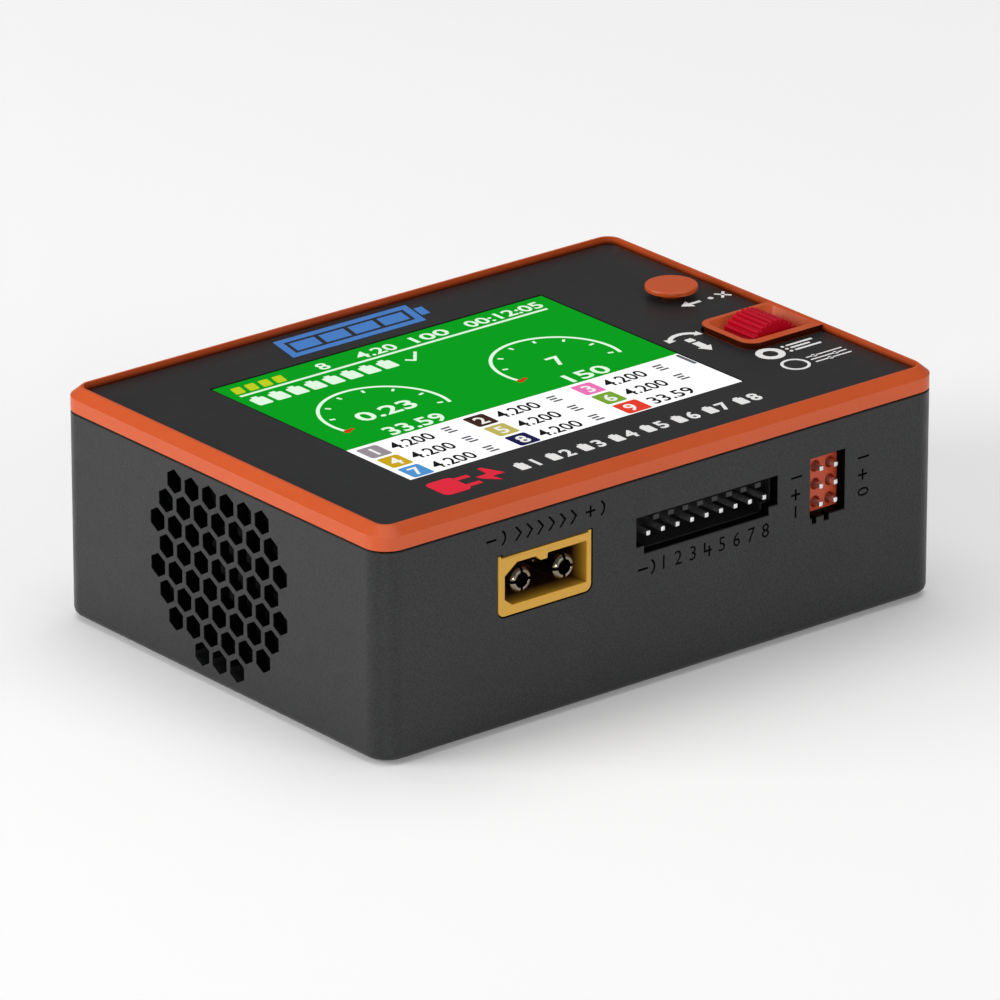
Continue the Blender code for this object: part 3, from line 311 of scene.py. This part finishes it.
def metal(name, colour, roughness, brushed=None, tarnish=0.18):
    """Bare or plated metal with fine scratches and a little uneven tarnish."""
    made = Shader(name, colour, roughness, metallic=1.0)
    made.vary_colour(made.span(made.noise(1.6, detail=4.0), 0.0, 1.0, 0.3, 0.7), tarnish)
    made.vary_roughness(made.noise(0.8, detail=5.0, stretch=brushed), 0.08)
    made.bump(made.noise(0.12, detail=3.0, stretch=brushed), 0.0015)
    return made


def laminate():
    """Board laminate: green solder mask over a faint weave, with copper tracks beneath it."""
    made = Shader("board_solder_mask", (0.012, 0.085, 0.035), 0.35)
    weave = made.node("ShaderNodeTexChecker")
    weave.inputs["Scale"].default_value = 1 / (0.5 * MM)
    made.link(made.place(), weave.inputs["Vector"])
    tracks = made.node("ShaderNodeTexBrick")
    tracks.inputs["Scale"].default_value = 1 / (6.0 * MM)
    tracks.inputs["Mortar Size"].default_value = 0.06
    made.link(made.place(), tracks.inputs["Vector"])
    green = made.mix(tracks.outputs["Fac"], made.colour, (0.03, 0.16, 0.06))
    made.link(green, made.bsdf.inputs["Base Color"])
    made.bump(tracks.outputs["Fac"], 0.03)
    made.bump(weave.outputs["Fac"], 0.004)
    return made


def rubber(name, colour, roughness=0.8):
    """Rubber or a soft sleeve: dull, mottled and slightly rough."""
    made = Shader(name, colour, roughness, Specular_IOR_Level=0.3)
    made.vary_colour(made.noise(0.9, detail=5.0), 0.25)
    made.bump(made.noise(0.3, detail=4.0), 0.012)
    made.bump(made.cells(0.5), 0.008)
    return made


def glowing(name, colour, strength, gloss=0.12):
    """Part of the lit picture: it shines by itself under a smooth, clear front."""
    made = Shader(name, tuple(c * 0.03 for c in colour), gloss, Specular_IOR_Level=0.008)
    grid = made.noise(0.12, detail=1.0)
    made.set("Emission Strength", strength)
    dim = tuple(c * 0.97 for c in colour)
    made.link(made.mix(grid, dim, colour), made.bsdf.inputs["Emission Color"])
    made.vary_roughness(made.noise(2.0), 0.03)
    return made


def ink(name, colour, roughness=0.5):
    """Screen-printed ink, a touch uneven at its own scale."""
    made = Shader(name, colour, roughness, Specular_IOR_Level=0.3)
    made.vary_colour(made.noise(0.35, detail=4.0), 0.06)
    made.bump(made.noise(0.2, detail=3.0), 0.004)
    return made


SLOT_FINISH = {
    "case_plastic": case_finish,
    "bezel_plastic": bezel_finish,
    "panel_plastic": lambda: moulded("panel_black_matte", (0.020, 0.0205, 0.0215), 0.36,
                                     grain_mm=0.2, grain_depth=0.005, shade=0.14, Specular_IOR_Level=0.16),
    "screen_glass": lambda: moulded("display_border_black", (0.006, 0.006, 0.007), 0.15, grain_depth=0.0),
    "screen_metal": lambda: metal("display_frame_steel", (0.55, 0.56, 0.58), 0.35, (1, 12, 1)),
    "ribbon_film": lambda: moulded("ribbon_amber_film", (0.45, 0.2, 0.03), 0.3, grain_depth=0.001),
    "connector_black": lambda: moulded("connector_black_nylon", (0.012, 0.012, 0.0125), 0.5,
                                       grain_mm=0.15, grain_depth=0.004),
    "connector_yellow": socket_finish,
    "connector_orange": lambda: moulded("connector_orange_nylon", (0.50, 0.062, 0.018), 0.42,
                                        grain_mm=0.15, grain_depth=0.003, shade=0.07),
    "contact_gold": lambda: metal("contact_gold_plate", (0.24, 0.205, 0.15), 0.2, (1, 8, 1)),
    "contact_tin": lambda: metal("contact_tin_plate", (0.82, 0.82, 0.83), 0.4, (1, 8, 1)),
    "board_laminate": laminate,
    "heat_sink_metal": lambda: metal("heat_sink_aluminium", (0.66, 0.67, 0.69), 0.38, (14, 1, 1)),
    "ferrite": lambda: moulded("ferrite_grey_sintered", (0.07, 0.07, 0.074), 0.7,
                               grain_mm=0.3, grain_depth=0.02),
    "capacitor_can": lambda: metal("capacitor_can_silver", (0.62, 0.63, 0.65), 0.3, (1, 1, 10)),
    "switch_white": lambda: moulded("switch_white_nylon", (0.75, 0.74, 0.70), 0.45),
    "wheel_plastic": lambda: moulded("wheel_red_moulded", (0.50, 0.002, 0.018), 0.42,
                                     grain_mm=0.18, grain_depth=0.003, shade=0.08, Specular_IOR_Level=0.1),
    "fan_plastic": lambda: moulded("fan_black_moulded", (0.004, 0.004, 0.0042), 0.7, grain_depth=0.004,
                                   Specular_IOR_Level=0.12),
    "lead_rubber": lambda: rubber("lead_red_sleeve", (0.42, 0.015, 0.012), 0.45),
    "screw_steel": lambda: metal("screw_blackened_steel", (0.16, 0.16, 0.165), 0.4, (1, 1, 6)),
    "foot_rubber": lambda: rubber("foot_black_rubber", (0.022, 0.022, 0.023)),
}
FINISHES = {}


def finish_of(slot):
    """The material of one of the record's slots, made once."""
    if slot not in FINISHES:
        FINISHES[slot] = SLOT_FINISH[slot]().material
    return FINISHES[slot]


# ---------------------------------------------------------------- CAD nodes

EDGE_ANGLE = radians(32)
MODELLED_EDGES = ("bottom_case",)
FINE_EDGE = {"top_bezel": 0.14, "top_panel": 0.08, "exit_button": 0.12, "scroll_wheel": 0.07,
             "output_housing": 0.12, "input_housing": 0.12, "usb_shell": 0.05, "balance_housing": 0.06,
             "signal_block": 0.06, "fan_frame": 0.12, "heat_sink": 0.1, "inductor": 0.2}
PLAIN_EDGE = 0.05


def fine_edges(name, obj):
    """Merge the triangles into whole faces and round every crease a little."""
    whole = obj.modifiers.new("whole_faces", "DECIMATE")
    whole.decimate_type = "DISSOLVE"
    whole.angle_limit = radians(0.4)
    edge = obj.modifiers.new("fine_edges", "BEVEL")
    edge.width = FINE_EDGE.get(name, PLAIN_EDGE) * MM
    edge.segments = 2
    edge.limit_method = "ANGLE"
    edge.angle_limit = EDGE_ANGLE
    edge.miter_outer = "MITER_ARC"


def soften(name, obj):
    """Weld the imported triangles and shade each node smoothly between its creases."""
    mesh = obj.data
    normals = mesh.attributes.get("custom_normal")
    if normals:
        mesh.attributes.remove(normals)
    mesh.polygons.foreach_set("use_smooth", [True] * len(mesh.polygons))
    weld = obj.modifiers.new("weld", "WELD")
    weld.merge_threshold = 1e-7
    if name in MODELLED_EDGES:
        crease = obj.modifiers.new("creases", "EDGE_SPLIT")
        crease.split_angle = EDGE_ANGLE
        crease.use_edge_sharp = False
    else:
        fine_edges(name, obj)
    flat = obj.modifiers.new("face_weighted", "WEIGHTED_NORMAL")
    flat.mode = "FACE_AREA"
    flat.weight = 50
    flat.keep_sharp = True


def dress_cad_nodes():
    """Give every CAD node its finish and its shading."""
    for name, obj in NODES.items():
        slot = obj.data.materials[0].name
        obj.data.materials[0] = finish_of(slot)
        soften(name, obj)


# ---------------------------------------------------------------- thin flat shapes

class Layer:
    """Flat shapes of one finish at one height, as closed thin slabs in one object."""

    def __init__(self, name, low, high):
        self.name, self.low, self.high = name, low, high
        self.bm = bmesh.new()

    def outline(self, points):
        """A slab from a flat outline given anticlockwise."""
        low = [self.bm.verts.new((x, y, self.low)) for x, y in points]
        high = [self.bm.verts.new((x, y, self.high)) for x, y in points]
        self.bm.faces.new(list(reversed(low)))
        self.bm.faces.new(high)
        for i in range(len(points)):
            j = (i + 1) % len(points)
            self.bm.faces.new((low[i], low[j], high[j], high[i]))

    def rect(self, left, bottom, right, top, radius=0.0, lean=0.0):
        """A rectangle with round corners, leaned over to the right by lean times its height."""
        if radius <= 0:
            points = [(left, bottom), (right, bottom), (right, top), (left, top)]
        else:
            points = []
            for cx, cy, start in ((right - radius, bottom + radius, -90), (right - radius, top - radius, 0),
                                  (left + radius, top - radius, 90), (left + radius, bottom + radius, 180)):
                points += arc_points(cx, cy, radius, start, start + 90, 5)
        self.outline([(x + lean * (y - bottom), y) for x, y in points])

    def band(self, cx, cy, radius, width, start, end, steps=48):
        """Part of a ring between two angles in degrees; a full turn gives a closed ring."""
        outer, inner = radius + width / 2, radius - width / 2
        if end - start >= 360:
            self.ring(cx, cy, outer, inner, steps)
            return
        points = arc_points(cx, cy, outer, start, end, steps)
        points += reversed(arc_points(cx, cy, inner, start, end, steps))
        self.outline(points)

    def ring(self, cx, cy, outer, inner, steps):
        """A flat ring with a hole through it."""
        loops = []
        for radius in (outer, inner):
            for z in (self.low, self.high):
                points = arc_points(cx, cy, radius, 0, 360 - 360 / steps, steps - 1)
                loops.append([self.bm.verts.new((x, y, z)) for x, y in points])
        outer_low, outer_high, inner_low, inner_high = loops
        for a, b in ((outer_low, outer_high), (outer_high, inner_high), (inner_high, inner_low),
                     (inner_low, outer_low)):
            for i in range(steps):
                j = (i + 1) % steps
                self.bm.faces.new((a[i], a[j], b[j], b[i]))

    def disc(self, cx, cy, radius, steps=24):
        """A flat round slab."""
        self.outline(arc_points(cx, cy, radius, 0, 360 - 360 / steps, steps - 1))

    def stroke(self, x0, y0, x1, y1, width):
        """A straight bar between two points."""
        length = hypot(x1 - x0, y1 - y0)
        nx, ny = -(y1 - y0) / length * width / 2, (x1 - x0) / length * width / 2
        self.outline([(x0 - nx, y0 - ny), (x1 - nx, y1 - ny), (x1 + nx, y1 + ny), (x0 + nx, y0 + ny)])

    def number(self, text, cx, cy, height, width=None, weight=0.0):
        """Numerals from Blender's own font; height is that of a digit, and width is the whole line's."""
        curve = bpy.data.curves.new("numerals", "FONT")
        curve.body = text
        curve.size = height / 0.73
        curve.align_x = "CENTER"
        curve.resolution_u = 3
        curve.offset = weight
        curve.extrude = (self.high - self.low) / 2
        holder = bpy.data.objects.new("numerals", curve)
        bpy.context.scene.collection.objects.link(holder)
        bpy.context.view_layer.update()
        ready = holder.evaluated_get(bpy.context.evaluated_depsgraph_get())
        mesh = bpy.data.meshes.new_from_object(ready)
        bpy.data.objects.remove(holder)
        bpy.data.curves.remove(curve)
        spans = [vert.co.x for vert in mesh.vertices]
        left, right = min(spans), max(spans)
        stretch = width / (right - left) if width else 1.0
        shift = cx - stretch * (left + right) / 2
        place = Matrix.Translation((shift, cy - height / 2, (self.low + self.high) / 2))
        mesh.transform(place @ Matrix.Diagonal((stretch, 1, 1, 1)))
        self.bm.from_mesh(mesh)
        bpy.data.meshes.remove(mesh)

    def done(self, material, slot, body="case"):
        """The finished object, in place on its body."""
        bmesh.ops.remove_doubles(self.bm, verts=self.bm.verts, dist=1e-4)
        bmesh.ops.recalc_face_normals(self.bm, faces=self.bm.faces)
        bmesh.ops.scale(self.bm, vec=(MM, MM, MM), verts=self.bm.verts)
        mesh = bpy.data.meshes.new(self.name)
        self.bm.to_mesh(mesh)
        self.bm.free()
        mesh.materials.append(material)
        obj = bpy.data.objects.new(self.name, mesh)
        bpy.context.scene.collection.objects.link(obj)
        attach(obj, body)
        return obj


def arc_points(cx, cy, radius, start, end, steps):
    """Points on an arc, with its angles in degrees."""
    angles = [radians(start + (end - start) * i / steps) for i in range(steps + 1)]
    return [(cx + radius * cos(a), cy + radius * sin(a)) for a in angles]


# ---------------------------------------------------------------- display

LAYER = 0.02
PICTURE_Z = LENS_HIGH.z - 0.05
GREEN_BOTTOM = -6.6
PICTURE_EDGE = 0.35
GREEN = srgb(2, 160, 28)
TABLE_WHITE = srgb(250, 250, 250)
PALE = srgb(225, 248, 225)
GAUGES = ((-18.46, 1.35, ("0.23", 9.4), ("33.59", 9.6)), (10.92, 1.35, ("7", 2.1), ("150", 7.0)))
GAUGE_R = 9.05
TAG_COLUMNS = (-28.9, -11.0, 7.4)
TAG_ROWS = (-9.2, -13.55, -17.9)
TAG_COLOURS = (
    (srgb(150, 142, 148), srgb(62, 36, 32), srgb(236, 116, 182)),
    (srgb(200, 165, 24), srgb(190, 178, 92), srgb(118, 164, 52)),
    (srgb(78, 146, 208), srgb(26, 26, 78), srgb(226, 62, 44)),
)


def build_display_glass():
    """The display's front: a dark slab with fine bevelled edges that stands for the lens."""
    bm = bmesh.new()
    size = LENS_HIGH - LENS_LOW
    size.z = PICTURE_Z - LENS_LOW.z
    middle = LENS_LOW + size / 2
    bmesh.ops.create_cube(bm, size=1.0, matrix=Matrix.Translation(middle) @ Matrix.Diagonal((*size, 1.0)))
    bmesh.ops.bevel(bm, geom=list(bm.edges), offset=0.12, segments=3, profile=0.5, affect="EDGES")
    bmesh.ops.scale(bm, vec=(MM, MM, MM), verts=bm.verts)
    mesh = bpy.data.meshes.new("display_glass")
    bm.to_mesh(mesh)
    bm.free()
    mesh.polygons.foreach_set("use_smooth", [True] * len(mesh.polygons))
    mesh.set_sharp_from_angle(angle=radians(40))
    mesh.materials.append(finish_of("screen_glass"))
    glass = bpy.data.objects.new("display_glass", mesh)
    bpy.context.scene.collection.objects.link(glass)
    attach(glass, "case")
    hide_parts("screen_lens")


def picture(name, level):
    """A layer of the picture, one step of thickness above the level below it."""
    low = PICTURE_Z + LAYER * level
    return Layer(name, low, low + LAYER)


def lit(name, colour, strength=1.0):
    """The material of one lit colour of the display."""
    return glowing(name, colour, strength).material


def build_fields():
    """The picture's green upper field and its white table."""
    left, right = LENS_LOW.x + PICTURE_EDGE * 0.3, LENS_HIGH.x - PICTURE_EDGE * 0.3
    top, bottom = LENS_HIGH.y - PICTURE_EDGE * 0.3, LENS_LOW.y + PICTURE_EDGE * 0.3
    green = picture("display_field_green", 0)
    green.rect(left, GREEN_BOTTOM, right, top)
    green.done(lit("display_green", GREEN, 0.95), "screen_image")
    table = picture("display_table_white", 0)
    table.rect(left, bottom, right, GREEN_BOTTOM)
    table.done(lit("display_white", TABLE_WHITE, 1.14), "screen_image")


def build_header():
    """The line of figures along the top, its rule, and the state shown as full cells."""
    pale = lit("display_pale", PALE)
    head = picture("display_header_figures", 1)
    head.rect(-30.2, 17.45, 22.5, 17.95)
    line = ("8", -15.6, -13.9), ("4.20", -9.0, -2.4), ("100", 0.6, 6.6), ("00:12:05", 9.9, 22.9)
    for text, left, right in line:
        head.number(text, (left + right) / 2, 19.75, 2.3, right - left, 0.05)
    cell, gap, count = 2.3, 0.75, 8
    for i in range(count):
        left = -30.1 + i * (cell + gap)
        head.rect(left, 13.4, left + cell, 16.0, 0.3)
        head.rect(left + cell * 0.3, 16.0 - LAYER, left + cell * 0.7, 16.5, 0.0)
    head.stroke(-4.7, 14.6, -3.7, 13.6, 0.45)
    head.stroke(-3.85, 13.55, -1.7, 16.2, 0.45)
    head.done(pale, "screen_image")
    badge = picture("display_badge_yellow", 1)
    for i in range(4):
        left = -30.1 + i * 2.3
        badge.rect(left, 18.5, left + 1.6, 20.7, 0.25, lean=0.22)
    badge.done(lit("display_yellow", srgb(190, 205, 30)), "screen_image")


def build_gauges():
    """Two round gauges with ticks, figures and a red marker at their low end."""
    white = lit("display_gauge_white", srgb(228, 252, 228))
    marks = picture("display_gauges_white", 1)
    needles = picture("display_needles_red", 2)
    low, high, ticks = -17, 197, 8
    for cx, cy, reading, total in GAUGES:
        marks.band(cx, cy, GAUGE_R, 0.5, low, high, 64)
        for i in range(ticks - 1):
            angle = radians(-15 + 30 * i)
            c, s = cos(angle), sin(angle)
            marks.stroke(cx + 7.35 * c, cy + 7.35 * s, cx + 8.15 * c, cy + 8.15 * s, 0.38)
        marks.number(reading[0], cx, cy + 0.3, 3.1, reading[1], 0.07)
        marks.number(total[0], cx, cy - 5.95, 2.9, total[1], 0.06)
        angle = radians(high)
        needles.stroke(cx + 7.7 * cos(angle), cy + 7.7 * sin(angle),
                       cx + 9.3 * cos(angle), cy + 9.3 * sin(angle), 0.55)
        needles.disc(cx + GAUGE_R * cos(angle), cy + GAUGE_R * sin(angle), 0.5)
    marks.done(white, "screen_image")
    needles.done(lit("display_red", srgb(200, 60, 20)), "screen_image")


def build_table():
    """Nine numbered tags, each with its cell's figures and a small level icon."""
    figures = picture("display_figures_black", 1)
    icons = picture("display_icons_grey", 1)
    numbers = picture("display_tag_numbers", 2)
    for row, y in enumerate(TAG_ROWS):
        for column, x in enumerate(TAG_COLUMNS):
            count = row * 3 + column + 1
            tag = picture(f"display_tag_{count}", 1)
            last = count == 9
            tag.rect(x - 1.7, y - 1.88, x + (2.35 if last else 1.7), y + 1.88, 0.4)
            tag.done(lit(f"display_tag_{count}", TAG_COLOURS[row][column]), "screen_image")
            numbers.number(str(count), x, y, 2.4, weight=0.06)
            text, left, right = ("33.59", x + 3.4, x + 10.6) if last else ("4.200", x + 2.7, x + 9.6)
            figures.number(text, (left + right) / 2, y, 2.5, right - left, 0.05)
            if last:
                continue
            for bar, length in enumerate((1.5, 1.2, 1.5)):
                level = y + 0.8 - 0.8 * bar
                icons.rect(x + 11.8, level - 0.22, x + 11.8 + length, level + 0.22)
    icons.rect(24.3, -11.0, 24.9, -7.0, 0.2)
    numbers.done(lit("display_tag_white", srgb(240, 240, 235)), "screen_image")
    figures.done(lit("display_black", srgb(22, 22, 26)), "screen_image")
    icons.done(lit("display_grey", srgb(96, 99, 104)), "screen_image")


# ---------------------------------------------------------------- prints on the panel

PRINT_LOW = PANEL_TOP
PRINT_HIGH = PRINT_LOW + 0.03


def print_layer(name):
    """A layer of ink on the panel."""
    return Layer(name, PRINT_LOW, PRINT_HIGH)


def battery_icon(layer, left, bottom, width, height, stroke, lean):
    """An outlined battery lying on its side, with a nub at its right end."""
    radius = height * 0.14
    top, right = bottom + height, left + width
    layer.rect(left, bottom, right, bottom + stroke, 0, lean)
    for x in (left, right - stroke):
        shift = lean * stroke
        layer.outline([(x + shift, bottom + stroke), (x + stroke + shift, bottom + stroke),
                       (x + stroke + lean * (height - stroke), top - stroke),
                       (x + lean * (height - stroke), top - stroke)])
    shift = lean * (height - stroke)
    layer.rect(left + shift, top - stroke, right + shift, top, 0, lean)
    nub = height * 0.42
    base = bottom + (height - nub) / 2
    shift = lean * (base - bottom)
    layer.rect(right + shift + 0.35, base, right + shift + 0.35 + radius * 1.6, base + nub, 0, lean)


def build_badge_prints():
    """A blue battery with four bars behind the display, and a red plug with a bolt before it."""
    blue = print_layer("print_battery_blue")
    left, bottom, width, height, stroke, lean = -15.9, 24.5, 22.8, 6.3, 1.15, 0.22
    battery_icon(blue, left, bottom, width, height, stroke, lean)
    bars, margin, gap = 4, 1.75, 0.75
    step = (width - 2 * margin + gap) / bars
    for i in range(bars):
        x = left + margin + i * step + lean * margin
        blue.rect(x, bottom + margin, x + step - gap, bottom + height - margin, 0, lean)
    blue.done(ink("print_blue", srgb(66, 128, 205)).material, "print_ink")

    red = print_layer("print_plug_red")
    x, y = -31.5, -25.1
    red.rect(x, y - 2.45, x + 4.4, y + 2.45, 0.9)
    for side in (-1, 1):
        red.rect(x + 4.4 - LAYER, y + side * 1.3 - 0.45, x + 6.6, y + side * 1.3 + 0.45, 0.0)
    red.outline([(x + 7.3, y - 0.55), (x + 9.3, y - 2.5), (x + 9.0, y - 0.7), (x + 11.1, y - 0.7),
                 (x + 9.6, y + 2.5), (x + 9.0, y + 2.5), (x + 8.9, y + 0.35), (x + 7.0, y + 0.35)])
    red.done(ink("print_red", srgb(236, 16, 50)).material, "print_ink")


def build_cell_row(white):
    """Eight small numbered cells along the panel's front edge."""
    first, last, count, y = -18.2, 24.6, 8, -25.5
    step = (last - first) / count
    for i in range(count):
        x = first + i * step
        white.rect(x, y - 1.25, x + 1.6, y + 0.95, 0.25)
        white.rect(x + 0.45, y + 0.95 - LAYER, x + 1.15, y + 1.3)
        white.number(str(i + 1), x + 3.1, y + 0.02, 2.45, weight=0.09)


def build_control_prints(white):
    """Turn, press, ring, list and slider icons beside the wheel and the button."""
    x, y = 29.5, -4.35
    radius, start, end = 2.75, 42, 138
    white.band(x, y - 0.05, radius + 0.2, 0.72, start, end, 16)
    for side, angle in ((1, start), (-1, end)):
        a = radians(angle)
        tip = (x + (radius + 0.2) * cos(a), y - 0.05 + (radius + 0.2) * sin(a))
        out = (cos(a), sin(a))
        down = (side * sin(a), -side * cos(a))
        points = [(tip[0] + out[0] * 0.85, tip[1] + out[1] * 0.85),
                  (tip[0] - out[0] * 0.85, tip[1] - out[1] * 0.85),
                  (tip[0] + down[0] * 1.1, tip[1] + down[1] * 1.1)]
        white.outline(points if side < 0 else points[::-1])
    white.rect(x - 0.62, -4.65, x + 0.62, -3.45, 0.2)
    white.outline([(x - 0.6, -5.1), (x - 0.6, -7.0), (x - 1.15, -7.0), (x, -8.65), (x + 1.15, -7.0),
                   (x + 0.6, -7.0), (x + 0.6, -5.1)])
    ring_x = 34.56
    white.ring(ring_x, -14.72, 2.05, 1.08, 40)
    white.ring(ring_x, -19.86, 2.05, 1.62, 40)
    for i, length in enumerate((4.6, 3.4, 4.6)):
        level = -13.75 - 0.95 * i
        white.disc(37.5, level, 0.27, 12)
        white.rect(38.15, level - 0.22, 38.15 + length, level + 0.22, 0.15)
    for i, knob in enumerate((1.4, 4.4, 2.6)):
        level = -18.85 - 1.0 * i
        white.rect(37.3, level - 0.14, 43.6, level + 0.14, 0.1)
        white.disc(37.3 + knob, level, 0.42, 14)
    back_y = 6.65
    white.outline([(37.0, back_y), (38.6, back_y - 1.1), (38.6, back_y - 0.3), (40.4, back_y - 0.3),
                   (40.4, back_y + 0.3), (38.6, back_y + 0.3), (38.6, back_y + 1.1)])
    white.disc(42.2, back_y, 0.42, 16)
    white.stroke(43.6, back_y - 0.9, 45.2, back_y + 0.9, 0.42)
    white.stroke(43.6, back_y + 0.9, 45.2, back_y - 0.9, 0.42)


def build_white_prints():
    """The white numbers and icons on the panel."""
    white = print_layer("print_icons_white")
    build_cell_row(white)
    build_control_prints(white)
    white.done(ink("print_white", srgb(245, 244, 243)).material, "print_ink")


# ---------------------------------------------------------------- stage

FOCUS = Vector((-0.000215, 0.0, 0.015022))
VIEW_AZIMUTH = radians(-39.218)
VIEW_ELEVATION = radians(21.654)
VIEW_DISTANCE = 1.24007
LENS = 334.06
LIGHT_TARGET = (0, 0, 0.02)
SOFTBOXES = (
    ("key_left", (-0.95, 0.4, 0.4), 0.7, 0.6, 8.0),
    ("overhead", (0.1, 0.15, 1.1), 1.1, 1.1, 6.6),
    ("front_fill", (0.25, -1.1, 0.45), 0.8, 0.5, 3.7),
    ("corner_strip", (-0.62, -0.76, 0.06), 0.045, 0.12, 1.5),
)


def aim(obj, target):
    """Turn a light so that it faces a point."""
    direction = Vector(target) - obj.location
    obj.rotation_mode = "QUATERNION"
    obj.rotation_quaternion = direction.to_track_quat("-Z", "Y")


def softbox(name, location, target, width, height, power):
    """A soft rectangular light that the camera doesn't see."""
    light = bpy.data.lights.new(name, "AREA")
    light.shape = "RECTANGLE"
    light.size, light.size_y = width, height
    light.energy = power
    obj = bpy.data.objects.new(name, light)
    obj.location = location
    bpy.context.scene.collection.objects.link(obj)
    aim(obj, target)
    obj.visible_camera = False
    return obj


def build_stage():
    """The plain floor, the even surroundings and the soft lights."""
    scene = bpy.context.scene
    scene.view_settings.view_transform = "Standard"
    scene.view_settings.look = "None"
    world = bpy.data.worlds.new("studio")
    world.use_nodes = True
    back = world.node_tree.nodes["Background"]
    back.inputs["Color"].default_value = (1.0, 1.0, 1.0, 1.0)
    back.inputs["Strength"].default_value = 0.2
    scene.world = world

    bm = bmesh.new()
    bmesh.ops.create_circle(bm, cap_ends=True, segments=96, radius=4.0)
    mesh = bpy.data.meshes.new("floor")
    bm.to_mesh(mesh)
    bm.free()
    floor = bpy.data.objects.new("floor", mesh)
    scene.collection.objects.link(floor)
    paper = Shader("floor_paper", (0.95, 0.95, 0.95), 0.7, Specular_IOR_Level=0.2)
    paper.set("Emission Color", (1.0, 1.0, 1.0, 1.0))
    paper.set("Emission Strength", 0.1)
    paper.vary_colour(paper.noise(60.0, detail=2.0), 0.005)
    mesh.materials.append(paper.material)

    for name, location, width, height, power in SOFTBOXES:
        softbox(name, location, LIGHT_TARGET, width, height, power)


def build_camera():
    """The camera, on the line from the focus at the chosen angles."""
    data = bpy.data.cameras.new("camera")
    data.lens = LENS
    data.sensor_width = 36
    data.clip_start, data.clip_end = 0.05, 20
    camera = bpy.data.objects.new("camera", data)
    back = Vector((sin(VIEW_AZIMUTH) * cos(VIEW_ELEVATION), -cos(VIEW_AZIMUTH) * cos(VIEW_ELEVATION),
                   sin(VIEW_ELEVATION)))
    camera.location = FOCUS + back * VIEW_DISTANCE
    camera.rotation_mode = "QUATERNION"
    camera.rotation_quaternion = (-back).to_track_quat("-Z", "Y")
    bpy.context.scene.collection.objects.link(camera)
    bpy.context.scene.camera = camera


dress_cad_nodes()
build_display_glass()
build_fields()
build_header()
build_gauges()
build_table()
build_badge_prints()
build_white_prints()
build_stage()
build_camera()
